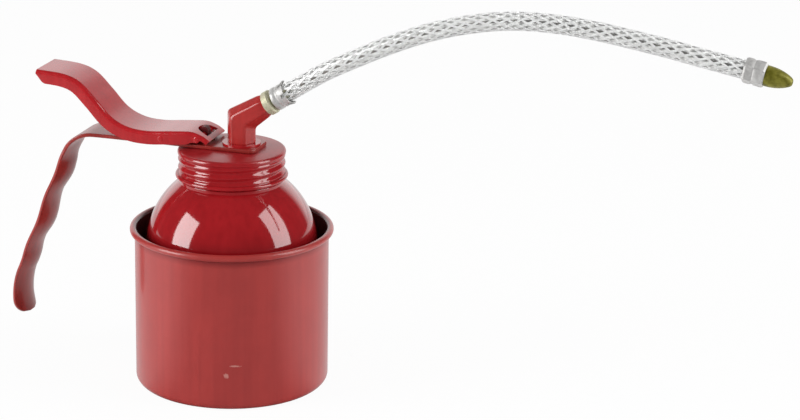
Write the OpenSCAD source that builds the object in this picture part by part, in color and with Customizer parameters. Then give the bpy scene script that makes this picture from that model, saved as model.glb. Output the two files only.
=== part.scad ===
// Hand oiler with a thumb lever, a strap handle and a clear hose for a spout.
// Z is up, X points along the spout, and the origin is the middle of the base.

/* [Can] */
// Outside diameter of the outer cup
cup_d = 76; // [66:1:92]
// Height of the outer cup up to the middle of its rolled rim
cup_h = 62.3; // [52:0.1:76]
// Thickness of the drawn steel sheet
sheet = 0.8; // [0.6:0.1:0.9]
// Radius of the cup's bottom corner
corner_r = 3; // [2:0.5:5]
// Thickness of the rolled rim
rim_d = 2.7; // [2.3:0.1:3.4]
// Width of the gutter between cup and dome
gutter_w = 3.5; // [2.5:0.5:5]
// Height by which the dome's centre lies below the rim
dome_drop = 7.2; // [5:0.1:10]

/* [Neck and cap] */
// Middle diameter of the neck's rolled thread
thread_d = 38.6; // [38:0.2:42]
// Pitch of the rolled thread
thread_pitch = 3.3; // [2.8:0.1:4]
// Height of a thread ridge from root to crest
thread_rise = 0.7; // [0.5:0.1:0.9]
// Height of the cap
cap_h = 12; // [11:0.5:14]
// Gap between the threads of cap and neck
thread_gap = 0.2; // [0.15:0.05:0.3]

/* [Strap handle] */
// Thickness of the strap
strap_t = 1.5; // [1.2:0.1:1.8]
// Width of the strap on the cap
strap_w = 16.4; // [15:0.2:18]
// Width of the strap at the finger grip
grip_w = 18; // [16:0.5:22]
// Distance from the can's axis back to the strap's bend
grip_back = 59.5; // [54:0.5:70]
// Lean of the finger grip from upright, in degrees
grip_lean = 21.5; // [12:0.5:28]
// Length of the finger grip below the bend
grip_len = 79.5; // [70:0.5:90]
// Depth of a finger wave to each side of the middle
wave_depth = 0.9; // [0:0.1:1.5]
// Length of one finger wave
wave_len = 22.5; // [18:0.5:26]

/* [Thumb lever] */
// Thickness of the lever's sheet
lever_t = 1; // [0.8:0.1:1.2]
// Depth of the lever's side flanges
flange_h = 5.2; // [4.6:0.1:6]
// Gap between strap and flange on each side
flange_gap = 0.5; // [0.3:0.1:0.8]
// Distance from the can's axis back to the fulcrum pin
fulcrum_back = 26; // [25:0.5:27]
// Height of the fulcrum pin above the cap
fulcrum_up = 2.7; // [2.7:0.05:2.9]
// Diameter of the fulcrum pin and the drive pin
pin_d = 2; // [1.8:0.1:2]
// Radial play of a pin in its eye
pin_play = 0.05; // [0.02:0.01:0.1]
// Travel of the lever in degrees
lever_swing = 12; // [8:1:12]

/* [Pump] */
// Distance from the can's axis back to the pump rod
rod_back = 11; // [10.6:0.1:11.4]
// Diameter of the pump rod
rod_d = 3; // [2.6:0.1:3.2]
// Inside diameter of the pump barrel
barrel_bore = 7.4; // [7:0.1:7.6]
// Radial play of the rod in its gland and of the piston in its barrel
slide_play = 0.05; // [0.03:0.01:0.1]
// Height of the strainer above the cup's floor
strainer_gap = 2; // [1.5:0.5:6]

/* [Spout] */
// Distance from the can's axis forward to the elbow's column
spout_fwd = 4.1; // [3.5:0.1:4.5]
// Width of the elbow's column across its flats
elbow_af = 10.4; // [10:0.1:12]
// Width of the elbow's mouth across its flats
mouth_af = 8.6; // [8:0.1:9.4]
// Height at which the elbow's two centre lines meet, above the cap
elbow_up = 11.5; // [10:0.1:14]
// Length of the elbow's arm from that point to its mouth
arm_len = 12.5; // [11:0.1:16]
// Rise of the arm above level, in degrees
arm_rise = 33; // [30:1:36]
// Outside diameter of the hose
hose_d = 7.2; // [6.6:0.1:8]
// Inside diameter of the hose
hose_bore = 5; // [4.6:0.1:5.4]
// Droop of the nozzle below level, in degrees
tip_droop = 10.5; // [8:0.5:18]
// Length of the nozzle's bullet
nozzle_len = 10.2; // [8:0.2:14]

/* [Hidden] */
$fn = 48;
EPS = 0.01;
RED = "#b3222b";
DEEP_RED = "#8e1f24";
STEEL = "#b9bcc0";
BRASS = "#c8a860";
PALE_BRASS = "#d8d8b0";
OLIVE = "#7a7420";
CLEAR = "#dfe3e2";
RUBBER = "#2b2b2b";

// Can and neck
cup_r = cup_d / 2;
cup_in_r = cup_r - sheet;
dome_z = cup_h - dome_drop;
dome_r = cup_in_r - gutter_w;
skirt_top = dome_z - 9;
skirt_h = 6;
seam_play = 0.03;
skirt_r = cup_in_r - seam_play;
neck_r = thread_d / 2;
neck_wall_r = neck_r - thread_rise / 2 - 0.15;
neck_bore_r = neck_r - 1.1;
mouth_r = neck_wall_r + seam_play;
collar_r = neck_r + 1.2;
collar_h = 1.35;
collar_lap = 0.6;
collar_top = dome_z + sqrt(dome_r * dome_r - collar_r * collar_r) + collar_h;
collar_low = collar_top - collar_h - collar_lap;
neck_flange_t = 0.6;
neck_flange_r = sqrt(pow(dome_r - sheet, 2) - pow(collar_low - dome_z, 2)) - 0.2;
cap_gap = 0.4;
deck_z = collar_top + cap_gap + cap_h;
gasket_t = 1.2;
neck_top = deck_z - sheet - gasket_t;

// Cap
cap_in_r = neck_r + thread_gap;
cap_out_r = cap_in_r + sheet + 0.2;
cap_edge_r = 1.3;
rim_in_r = cap_in_r - thread_rise / 2 - 0.15;
rim_out_r = cap_out_r + thread_rise / 2 + 0.25;
rim_low = -2.3;
curl_r = 0.85;
curl_in_r = cap_in_r + thread_rise / 2 + 0.1;
curl_out_r = rim_out_r;
curl_top = 2 * curl_r + 0.2 - cap_h;
thread_top = deck_z - 2;
thread_low = deck_z - cap_h + 1.4;

// Strap
bend_r = 6.5;
ear_r = 1.6;
ear_in = 4.2;
strap_end = 12;
gland_hole_r = 3.7;
stem_r = 4;
stem_hole_r = stem_r + 0.15;
grip_straight = 60;
grip_hook_r = 30;
tail_r = 3.5;

// Lever
flange_in = strap_w / 2 + flange_gap;
lever_half = flange_in + lever_t;
fold_r = lever_t + 0.5;
thumb_lip = fold_r + 0.2;
nose_lip = fold_r + 0.05;
flange_cut = -rod_back - 5;
flange_end = -rod_back + 1.4;
drive_up = 3.8;
drive_reach = fulcrum_back - rod_back;
drive_rise = drive_up - fulcrum_up;
slot_run = drive_reach * (1 - cos(lever_swing)) + drive_rise * sin(lever_swing) + 0.05;
eye_r = 2;
crown_r = 1.7;
crown_up = drive_up + 1.6;
window_r = 5.6;
window_front = eye_r + 1.1 - rod_back;
rivet_r = 1.5;
rivet_t = 0.3;
// Top line of the lever from the thumb end to the nose, as [x, height above the cap]
LEVER_LINE = [[-78.2, 25.4], [-67, 24.6], [-60, 22], [-53.5, 15.9], [-47, 9.2], [-40, 5.9],
    [-32, 5.1], [-22, 6], [-14, 6.6], [-9.6, 5.5], [-7.2, 4.2], [-6.1, 3.3]];

// Pump, with heights counted from the cap's top face
head_low = -13.4;
head_r = neck_bore_r - 0.6 - rod_back;
head_nose_r = 6;
head_web = 9;
gland_r = 3.5;
gland_low = -7.4;
packing_top = -5.6;
chamber_top = -8.6;
barrel_r = barrel_bore / 2 + 0.7;
barrel_top = -10.6;
barrel_low = -34.6;
passage_r = 1.3;
passage_z = -9.6;
seat_z = -7.4;
seat_r = 1.2;
outlet_ball_r = 1.8;
outlet_cage_r = 2.5;
outlet_wire_r = 0.1;
outlet_low = seat_z + sqrt(pow(outlet_ball_r, 2) - pow(seat_r, 2)) + outlet_ball_r - 0.45;
stem_low = -5.2;
spring_shelf = 2;
return_wire_r = 0.25;
piston_low = -28.5;
land_top = -24.5;
piston_top = -21.5;
neck_of_piston_r = 2.5;
rod_low = -23.2;
piston_seat_z = -27.3;
piston_ball_r = 1.3;
piston_seat_r = 0.9;
piston_cage_r = 1.7;
seal_low = -26.9;
seal_top = -25.3;
seal_groove = 1.25;
vent_r = 0.6;
foot_top = -30;
foot_seat_z = -33;
foot_ball_r = 1.6;
foot_seat_r = 1.1;
foot_cage_r = 2.2;
nipple_r = 2.2;
nipple_len = 7;
tube_r = 3.2;
foot_flange_t = 1.2;
strainer_h = 9;
strainer_floor = 0.6;
ball_float = 0.02;

// Spout
washer_t = 0.8;
column_low = strap_t + washer_t;
bore_r = 1.2;
fitting_r = 4.8;
fitting_stem = 6;
fitting_t = 3.2;
groove_t = 1;
ferrule_lip = 0.6;
ferrule_len = 6.2;
ferrule_r = 4.6;
claw_len = 1.9;
claw_gap = 1.5;
barb_r = hose_bore / 2 - 0.1;
hose_start = fitting_t + groove_t + ferrule_lip;
tip_af = 8.6;
bullet_r = 3.8;
tip_len = 8;
tip_hose_depth = 6.6;
// Way of the hose from the elbow to the tip, as [x, height above the cap]
HOSE_WAY = [[38, 33.4], [50, 39.7], [62, 45.6], [74, 50.8], [86, 55], [98, 58], [110, 60],
    [122, 60.6], [134, 60.2], [146, 59], [158, 57.3], [170, 55.4], [182, 53.2], [191, 51.6]];
TIP = [199.5, 50.1];

// Point a fraction t along the curve that runs from b to c with neighbours a and d
function blend(a, b, c, d, t) =
    0.5 * (2 * b + (c - a) * t + (2 * a - 5 * b + 4 * c - d) * t * t
        + (3 * b - a - 3 * c + d) * t * t * t);

// Smooth line through the given points with n steps between neighbours
function smooth(p, n) =
    let (last = len(p) - 1)
    concat([for (i = [0 : last - 1], k = [0 : n - 1])
        blend(p[max(i - 1, 0)], p[i], p[i + 1], p[min(i + 2, last)], k / n)], [p[last]]);

// Unit vector of a flat vector
function unit(v) = v / norm(v);

// Direction of a flat line at its point i
function heading(p, i) = unit(p[min(i + 1, len(p) - 1)] - p[max(i - 1, 0)]);

// Flat line moved sideways, where d is counted to the right of its direction
function beside(p, d) = [for (i = [0 : len(p) - 1])
    let (h = heading(p, i)) p[i] + d * [h[1], -h[0]]];

function backwards(p) = [for (i = [len(p) - 1 : -1 : 0]) p[i]];

// Outline of a strip of thickness t centred on a flat line
function strip(p, t) = concat(beside(p, t / 2), backwards(beside(p, -t / 2)));

module on_deck() {
    translate([0, 0, deck_z]) children();
}

module at_rod() {
    translate([-rod_back, 0, deck_z]) children();
}

module at_spout() {
    translate([spout_fwd, 0, deck_z]) children();
}

// Frame of the elbow's mouth, with Z along the arm
module at_mouth() {
    translate([spout_fwd, 0, deck_z + elbow_up]) rotate([0, 90 - arm_rise, 0])
        translate([0, 0, arm_len]) children();
}

// Frame of the hose's far end, with Z along the nozzle
module at_tip() {
    translate([TIP[0], 0, deck_z + TIP[1]]) rotate([0, 90 + tip_droop, 0]) children();
}

// A profile drawn with X and height, made solid across the can's middle plane
module across(width) {
    rotate([90, 0, 0]) linear_extrude(height = width, center = true) children();
}

// A pin across the can's middle plane
module cross_pin(r, width) {
    rotate([90, 0, 0]) cylinder(r = r, h = width, center = true);
}

module ring(r_out, r_in, low, high) {
    translate([0, 0, low]) difference() {
        cylinder(r = r_out, h = high - low);
        translate([0, 0, -1]) cylinder(r = r_in, h = high - low + 2);
    }
}

// Solid between an outer and an inner skin, each given as rings with the same number of points
module walled(outer, inner) {
    rings = len(outer);
    sides = len(outer[0]);
    shift = rings * sides;
    end = shift - sides;
    outer_skin = [for (i = [0 : rings - 2], k = [0 : sides - 1])
        let (a = i * sides, m = (k + 1) % sides) [a + k, a + sides + k, a + sides + m, a + m]];
    inner_skin = [for (f = outer_skin) [for (j = [3 : -1 : 0]) f[j] + shift]];
    ends = [for (k = [0 : sides - 1], o = [0, end])
        let (m = (k + 1) % sides)
        o > 0 ? [o + k, o + k + shift, o + m + shift, o + m]
            : [m, m + shift, k + shift, k]];
    points = [for (skin = [outer, inner], one = skin, p = one) p];
    polyhedron(points, concat(outer_skin, inner_skin, ends), convexity = 10);
}

// Tube of sheet with a round right-hand thread rolled into it, plain inside where in_rise is 0
module thread_tube(r_out, r_in, in_rise, low, high) {
    sides = 36;
    steps = ceil(8 * (high - low) / thread_pitch);
    function skin(r, rise) = [for (i = [0 : steps])
        let (z = low + (high - low) * i / steps)
        [for (k = [0 : sides - 1])
            let (a = 360 * k / sides, out = r + rise / 2 * cos(a - 360 * z / thread_pitch))
            [out * cos(a), out * sin(a), z]]];
    walled(skin(r_out, thread_rise), skin(r_in, in_rise));
}

// Coil spring with closed end turns, standing between two heights
module coil(r, wire_r, low, high, turns) {
    around = 14;
    sides = 6;
    steps = turns * around;
    dead = around;
    rise = high - low - 2 * wire_r;
    pitch = 2 * wire_r;
    function height(i) =
        i < dead ? pitch * i / dead
        : i > steps - dead ? rise - pitch * (steps - i) / dead
        : pitch + (rise - 2 * pitch) * (i - dead) / (steps - 2 * dead);
    points = [for (i = [0 : steps], k = [0 : sides - 1])
        let (a = 360 * i / around, b = 360 * k / sides, out = r + wire_r * cos(b))
        [out * cos(a), out * sin(a), low + wire_r + height(i) + wire_r * sin(b)]];
    skin = [for (i = [0 : steps - 1], k = [0 : sides - 1])
        let (m = (k + 1) % sides)
        [i * sides + k, i * sides + m, (i + 1) * sides + m, (i + 1) * sides + k]];
    first = [for (k = [sides - 1 : -1 : 0]) k];
    last = [for (k = [0 : sides - 1]) steps * sides + k];
    polyhedron(points, concat([first], skin, [last]), convexity = 10);
}

// Tube with open ends along a flat line of [x, height] points
module hose_along(way, r_out, r_in) {
    sides = 12;
    function skin(r) = [for (i = [0 : len(way) - 1])
        let (h = heading(way, i))
        [for (k = [0 : sides - 1])
            let (a = -360 * k / sides)
            [way[i][0] - h[1] * r * cos(a), r * sin(a), way[i][1] + h[0] * r * cos(a)]]];
    walled(skin(r_out), skin(r_in));
}

// Can

module outer_cup() {
    foot_out = cup_r - corner_r;
    color(RED) rotate_extrude($fn = 96) {
        translate([cup_in_r, corner_r]) square([sheet, cup_h - corner_r]);
        intersection() {
            translate([foot_out, corner_r]) difference() {
                circle(r = corner_r);
                circle(r = corner_r - sheet);
            }
            translate([foot_out, 0]) square(corner_r);
        }
        square([foot_out, sheet]);
        difference() {
            translate([cup_in_r + rim_d / 2, cup_h]) difference() {
                circle(r = rim_d / 2);
                circle(r = rim_d / 2 - sheet);
            }
            translate([cup_r, cup_h - rim_d]) square([0.6, rim_d]);
        }
    }
}

// Part of a ball with a skirt inside the cup and a flat collar round its mouth
module dome_shell() {
    shell_low = dome_z - 6;
    skirt_in = skirt_r - sheet;
    color(RED) rotate_extrude($fn = 96) {
        intersection() {
            translate([0, dome_z]) difference() {
                circle(r = dome_r);
                circle(r = dome_r - sheet);
            }
            translate([mouth_r, dome_z]) square([dome_r, dome_r]);
        }
        polygon([[dome_r - sheet, dome_z], [dome_r - sheet, shell_low - 0.5],
            [skirt_in, skirt_top - 0.5], [skirt_in, skirt_top - skirt_h],
            [skirt_r, skirt_top - skirt_h], [skirt_r, skirt_top], [dome_r, shell_low],
            [dome_r, dome_z]]);
        translate([mouth_r, collar_low]) square([collar_r - mouth_r, collar_top - collar_low]);
    }
}

// Threaded ring that stands in the dome's mouth, with its flange soldered below the collar
module neck_ring() {
    ring_low = collar_low - neck_flange_t;
    color(RED) {
        rotate_extrude($fn = 96) {
            translate([neck_bore_r, ring_low]) square([neck_wall_r - neck_bore_r, neck_top - ring_low]);
            translate([neck_bore_r, ring_low]) square([neck_flange_r - neck_bore_r, neck_flange_t]);
        }
        thread_tube(neck_r, neck_wall_r - 0.3, 0, thread_low + 0.4, neck_top - 1.2);
    }
}

module cap_gasket() {
    color(RUBBER) on_deck() ring(neck_wall_r + 0.1, neck_bore_r - 0.2, -sheet - gasket_t, -sheet);
}

module screw_cap() {
    flat_r = rim_out_r - cap_edge_r;
    color(RED) difference() {
        union() {
            on_deck() rotate_extrude($fn = 96) {
                translate([0, -sheet]) square([flat_r, sheet]);
                intersection() {
                    translate([flat_r, -cap_edge_r]) circle(r = cap_edge_r);
                    translate([flat_r, -cap_edge_r]) square(cap_edge_r);
                }
                translate([rim_in_r, rim_low]) square([rim_out_r - rim_in_r, -cap_edge_r - rim_low]);
                translate([rim_in_r, -cap_edge_r]) square([flat_r - rim_in_r, cap_edge_r]);
                translate([curl_in_r, curl_r - cap_h])
                    square([curl_out_r - curl_in_r, curl_top + cap_h - curl_r]);
                translate([curl_out_r, curl_r - cap_h]) circle(r = curl_r);
            }
            thread_tube(cap_out_r, cap_in_r, thread_rise, thread_low, thread_top);
        }
        at_rod() translate([0, 0, -5]) cylinder(r = gland_hole_r, h = 10);
        at_spout() translate([0, 0, -5]) cylinder(r = stem_hole_r, h = 10);
        on_deck() translate([-2, 13, -5]) cylinder(r = 0.6, h = 10);
    }
}

// Strap handle

// Middle line of the finger grip at distance s below the bend
function grip_at(s) =
    let (start = [-grip_back, strap_t / 2 - bend_r] + bend_r * [-cos(grip_lean), sin(grip_lean)],
        down = [-sin(grip_lean), -cos(grip_lean)],
        inward = [cos(grip_lean), -sin(grip_lean)],
        fade = min(1, s / 6, max(0, (grip_straight - s) / 8)),
        wave = wave_depth * fade * cos(360 * (s - 14.5) / wave_len),
        turn = (s - grip_straight) / grip_hook_r * 180 / PI)
    s < grip_straight ? start + s * down + wave * inward
    : start + grip_straight * down
        + grip_hook_r * ((1 - cos(turn)) * inward + sin(turn) * down);

module handle_strap() {
    bend = [for (a = [90 : 9 : 180 - grip_lean])
        [-grip_back, strap_t / 2 - bend_r] + bend_r * [cos(a), sin(a)]];
    grip = [for (s = [1.5 : 1.5 : grip_len]) grip_at(s)];
    line = concat([[strap_end, strap_t / 2]], bend, grip);
    tail = grip_at(grip_len);
    color(RED) difference() {
        union() {
            on_deck() intersection() {
                across(grip_w) polygon(strip(line, strap_t));
                translate([0, 0, -100]) linear_extrude(height = 120) polygon([
                    [-130, grip_w / 2], [-grip_back, grip_w / 2], [-grip_back + 7, strap_w / 2],
                    [strap_end - 2, strap_w / 2], [strap_end, strap_w / 2 - 2],
                    [strap_end, 2 - strap_w / 2], [strap_end - 2, -strap_w / 2],
                    [7 - grip_back, -strap_w / 2], [-grip_back, -grip_w / 2], [-130, -grip_w / 2]]);
                rotate([90, 0, 90]) linear_extrude(height = 260, center = true) {
                    translate([-grip_w / 2, tail[1] + tail_r]) square([grip_w, 130]);
                    for (side = [-1, 1])
                        translate([side * (grip_w / 2 - tail_r), tail[1] + tail_r]) circle(r = tail_r);
                    translate([tail_r - grip_w / 2, tail[1]]) square([grip_w - 2 * tail_r, 20]);
                }
            }
            for (side = [-1, 1]) on_deck() translate([-fulcrum_back, side * (ear_in + strap_t / 2), 0]) {
                translate([0, 0, fulcrum_up]) cross_pin(ear_r, strap_t);
                translate([-ear_r, -strap_t / 2, 0]) cube([2 * ear_r, strap_t, fulcrum_up]);
            }
        }
        on_deck() translate([-fulcrum_back - ear_r, -ear_in, -1])
            cube([2 * ear_r, 2 * ear_in, strap_t + 2]);
        on_deck() translate([-fulcrum_back, 0, fulcrum_up]) cross_pin(pin_d / 2 + pin_play, 20);
        at_rod() translate([0, 0, -5]) cylinder(r = gland_hole_r, h = 10);
        at_spout() translate([0, 0, -5]) cylinder(r = stem_hole_r, h = 10);
    }
}

// Thumb lever

// Depth of the lever's flange below its top line, from the thumb's lip to the nose
function flange_depth(x) =
    let (ramp = thumb_lip + 1.1 * (x - LEVER_LINE[0][0]),
        full = flange_h - 0.3 * max(0, x - flange_cut))
    x < flange_end ? min(full, ramp) : max(nose_lip, full - 3 * (x - flange_end));

// Half outline of the folded sheet as [y, depth], from the flange's edge to the web
function fold_line(half, r, skin, depth) = concat([[half, depth]],
    [for (a = [90 : -30 : 0]) [half - r * (1 - sin(a)), skin + r * (1 - cos(a))]]);

// Closed section of the folded sheet at a point of the top line, outer skin first
function lever_section(top, i) =
    let (p = top[i], h = heading(top, i), depth = flange_depth(p[0]),
        outer = fold_line(lever_half, fold_r, 0, depth),
        inner = fold_line(flange_in, fold_r - lever_t, lever_t, depth),
        skin = concat(outer, [for (q = backwards(outer)) [-q[0], q[1]]]),
        back = concat([for (q = inner) [-q[0], q[1]]], backwards(inner)))
    [for (q = concat(skin, back)) [p[0] + q[1] * h[1], q[0], p[1] - q[1] * h[0]]];

module folded_sheet(sections) {
    m = len(sections[0]);
    half = m / 2;
    last = (len(sections) - 1) * m;
    skin = [for (i = [0 : len(sections) - 2], k = [0 : m - 1])
        let (a = i * m, n = (k + 1) % m) [a + k, a + m + k, a + m + n, a + n]];
    ends = [for (k = [0 : half - 2]) each [[k, k + 1, m - 2 - k, m - 1 - k],
        [last + m - 1 - k, last + m - 2 - k, last + k + 1, last + k]]];
    polyhedron([for (s = sections, p = s) p], concat(skin, ends), convexity = 10);
}

// Half-round window for the rod's eye, straight toward the nose
module nose_window() {
    translate([window_front, 0, 0]) intersection() {
        cylinder(r = window_r, h = 20);
        translate([-window_r - 1, -window_r - 1, 0]) cube([window_r + 1, 2 * window_r + 2, 20]);
    }
}

module thumb_lever() {
    top = smooth(LEVER_LINE, 4);
    color(RED) on_deck() difference() {
        folded_sheet([for (i = [0 : len(top) - 1]) lever_section(top, i)]);
        nose_window();
        translate([-fulcrum_back, 0, fulcrum_up]) cross_pin(pin_d / 2, 30);
        translate([-rod_back, 0, drive_up]) cross_pin(pin_d / 2, 30);
    }
}

// Pin through both flanges, riveted over at its ends
module riveted_pin() {
    cross_pin(pin_d / 2, 2 * lever_half + EPS);
    for (side = [-1, 1]) translate([0, side * (lever_half + rivet_t / 2), 0])
        cross_pin(rivet_r, rivet_t);
}

module fulcrum_pin() {
    color(RED) on_deck() translate([-fulcrum_back, 0, fulcrum_up]) riveted_pin();
}

module drive_pin() {
    color(RED) on_deck() translate([-rod_back, 0, drive_up]) riveted_pin();
}

// Pump

module piston_rod() {
    slot_r = pin_d / 2 + pin_play;
    color(DEEP_RED) at_rod() difference() {
        union() {
            translate([0, 0, rod_low]) cylinder(r = rod_d / 2, h = drive_up - rod_low);
            for (x = [-slot_run, 0]) translate([x, 0, drive_up]) cross_pin(eye_r, rod_d);
            translate([-slot_run, -rod_d / 2, drive_up - eye_r]) cube([slot_run, rod_d, 2 * eye_r]);
            translate([0, 0, crown_up]) cross_pin(crown_r, rod_d);
            translate([-crown_r, -rod_d / 2, drive_up]) cube([2 * crown_r, rod_d, crown_up - drive_up]);
        }
        for (x = [-slot_run, 0]) translate([x, 0, drive_up]) cross_pin(slot_r, rod_d + 2);
        translate([-slot_run, -rod_d, drive_up - slot_r]) cube([slot_run, 2 * rod_d, 2 * slot_r]);
    }
}

module piston() {
    color(BRASS) at_rod() difference() {
        union() {
            translate([0, 0, piston_low])
                cylinder(r = barrel_bore / 2 - slide_play, h = land_top - piston_low);
            translate([0, 0, land_top - EPS])
                cylinder(r = neck_of_piston_r, h = piston_top - land_top + EPS);
        }
        translate([0, 0, rod_low - EPS]) cylinder(r = rod_d / 2, h = 10);
        translate([0, 0, piston_seat_z]) cylinder(r = piston_cage_r, h = rod_low - piston_seat_z);
        translate([0, 0, piston_low - 1]) cylinder(r = piston_seat_r, h = 5);
        translate([0, 0, rod_low - vent_r - 0.1]) cross_pin(vent_r, 20);
        ring(10, barrel_bore / 2 - seal_groove, seal_low, seal_top);
    }
}

module piston_seal() {
    color(RUBBER) at_rod()
        ring(barrel_bore / 2 - 0.02, barrel_bore / 2 - seal_groove, seal_low + 0.05, seal_top - 0.05);
}

module piston_ball() {
    up = sqrt(pow(piston_ball_r, 2) - pow(piston_seat_r, 2));
    color(STEEL) at_rod() translate([0, 0, piston_seat_z + up + ball_float]) sphere(r = piston_ball_r);
}

module return_spring() {
    mean_r = (neck_of_piston_r + barrel_bore / 2) / 2;
    color(STEEL) at_rod() coil(mean_r, return_wire_r, land_top, chamber_top, 7);
}

module pump_head() {
    head_h = -sheet - head_low;
    color(STEEL) difference() {
        on_deck() union() {
            translate([-rod_back, 0, head_low]) cylinder(r = head_r, h = head_h);
            translate([spout_fwd, 0, head_low]) cylinder(r = head_nose_r, h = head_h);
            translate([-rod_back, -head_web / 2, head_low])
                cube([rod_back + spout_fwd, head_web, head_h]);
        }
        at_rod() {
            translate([0, 0, gland_low]) cylinder(r = gland_r, h = 20);
            translate([0, 0, chamber_top - 1]) cylinder(r = rod_d / 2 + 0.2, h = 5);
            translate([0, 0, head_low - 1]) cylinder(r = barrel_bore / 2, h = chamber_top - head_low + 1);
            translate([0, 0, head_low - 1]) cylinder(r = barrel_r, h = barrel_top - head_low + 1);
        }
        at_spout() {
            translate([0, 0, stem_low]) cylinder(r = stem_r, h = 20);
            translate([0, 0, seat_z]) cylinder(r = outlet_cage_r, h = 5);
            translate([0, 0, passage_z]) cylinder(r = seat_r, h = 5);
        }
        on_deck() translate([-rod_back + 2, 0, passage_z]) rotate([0, 90, 0])
            cylinder(r = passage_r, h = 40);
    }
}

module gland_nut() {
    top = 1.3;
    color(BRASS) at_rod() difference() {
        ring(gland_r - 0.04, rod_d / 2 + slide_play, packing_top, top);
        translate([-10, -0.6, top - 1]) cube([20, 1.2, 2]);
    }
}

module gland_packing() {
    color(RUBBER) at_rod() ring(gland_r, rod_d / 2 + slide_play, gland_low, packing_top);
}

module pump_cylinder() {
    color(STEEL) at_rod() ring(barrel_r - 0.02, barrel_bore / 2, barrel_low, barrel_top);
}

module passage_plug() {
    mouth = spout_fwd + head_nose_r;
    color(STEEL) on_deck() translate([mouth - 3.4, 0, passage_z]) rotate([0, 90, 0])
        cylinder(r = passage_r, h = 3.2);
}

module foot_valve() {
    flange_low = barrel_low - foot_flange_t;
    color(BRASS) at_rod() difference() {
        union() {
            translate([0, 0, barrel_low - EPS])
                cylinder(r = barrel_bore / 2, h = foot_top - barrel_low + EPS);
            translate([0, 0, flange_low]) cylinder(r = barrel_r, h = foot_flange_t);
            translate([0, 0, flange_low - nipple_len]) cylinder(r = nipple_r, h = nipple_len + EPS);
        }
        translate([0, 0, foot_seat_z]) cylinder(r = foot_cage_r, h = 10);
        translate([0, 0, flange_low - nipple_len - 1]) cylinder(r = foot_seat_r, h = nipple_len + 8);
    }
}

module foot_ball() {
    up = sqrt(pow(foot_ball_r, 2) - pow(foot_seat_r, 2));
    color(STEEL) at_rod() translate([0, 0, foot_seat_z + up + ball_float]) sphere(r = foot_ball_r);
}

module suction_tube() {
    top = deck_z + barrel_low - foot_flange_t;
    low = sheet + strainer_gap + 4;
    color(CLEAR) translate([-rod_back, 0, 0]) ring(tube_r, nipple_r, low, top);
}

module strainer() {
    low = sheet + strainer_gap;
    color(BRASS) translate([-rod_back, 0, low]) difference() {
        cylinder(r = tube_r + 0.5, h = strainer_h);
        translate([0, 0, 4]) cylinder(r = tube_r, h = strainer_h);
        translate([0, 0, strainer_floor]) cylinder(r = tube_r - 0.4, h = 5);
        for (a = [0 : 60 : 300]) rotate(a) translate([tube_r, 0, 2.2]) rotate([0, 90, 0])
            cylinder(r = vent_r, h = 3, center = true);
        for (a = [0 : 72 : 288]) rotate(a) translate([tube_r / 2, 0, -1]) cylinder(r = 0.5, h = 3);
    }
}

module outlet_ball() {
    up = sqrt(pow(outlet_ball_r, 2) - pow(seat_r, 2));
    color(STEEL) at_spout() translate([0, 0, seat_z + up + ball_float]) sphere(r = outlet_ball_r);
}

module outlet_spring() {
    color(STEEL) at_spout() coil(1.35, outlet_wire_r, outlet_low, spring_shelf, 9);
}

// Spout

module spout_washer() {
    color(RED) at_spout() ring(7.5, stem_hole_r, strap_t, strap_t + washer_t);
}

// Six-sided bar with flats to the sides, where af is its width across them
module six_bar(af, low, high) {
    translate([0, 0, low]) cylinder(r = af / sqrt(3), h = high - low, $fn = 6);
}

module spout_elbow() {
    lean = (90 - arm_rise) / 2;
    color(RED) difference() {
        union() {
            at_spout() difference() {
                six_bar(elbow_af, column_low, elbow_up + 12);
                translate([0, 0, elbow_up]) rotate([0, lean, 0]) translate([-20, -20, 0])
                    cube([40, 40, 30]);
            }
            hull() {
                at_spout() intersection() {
                    six_bar(elbow_af, column_low, elbow_up + 12);
                    translate([0, 0, elbow_up]) rotate([0, lean, 0])
                        cube([40, 40, 2 * EPS], center = true);
                }
                at_mouth() six_bar(mouth_af, -EPS, 0);
            }
            at_spout() translate([0, 0, stem_low]) cylinder(r = stem_r, h = column_low - stem_low + EPS);
        }
        at_spout() translate([0, 0, stem_low - 1]) cylinder(r = 2.3, h = spring_shelf - stem_low + 1);
        at_spout() translate([0, 0, stem_low]) cylinder(r = bore_r, h = elbow_up - stem_low);
        at_mouth() translate([0, 0, -arm_len - 0.5]) cylinder(r = bore_r, h = arm_len + 5);
        at_mouth() translate([0, 0, -fitting_stem]) cylinder(r = 3, h = fitting_stem + 5);
    }
}

// Barbs for the hose between two heights, pointing up
module barbs(low, high) {
    translate([0, 0, low]) cylinder(r = barb_r - 0.3, h = high - low);
    for (z = [high - 2 : -2.5 : low + 2]) translate([0, 0, z])
        cylinder(r1 = barb_r, r2 = barb_r - 0.35, h = 2);
}

module hose_fitting() {
    color(PALE_BRASS) at_mouth() difference() {
        union() {
            translate([0, 0, -fitting_stem]) cylinder(r = 3, h = fitting_stem + EPS);
            rotate_extrude() polygon([[0, 0], [fitting_r - 0.4, 0], [fitting_r, 0.4],
                [fitting_r, fitting_t - 0.6], [fitting_r - 0.6, fitting_t], [0, fitting_t]]);
            translate([0, 0, fitting_t - EPS]) cylinder(r = barb_r + 0.2, h = hose_start - fitting_t);
            barbs(hose_start - 0.1, hose_start + 11);
        }
        translate([0, 0, -fitting_stem - 1]) cylinder(r = 1.3, h = 40);
    }
}

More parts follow.
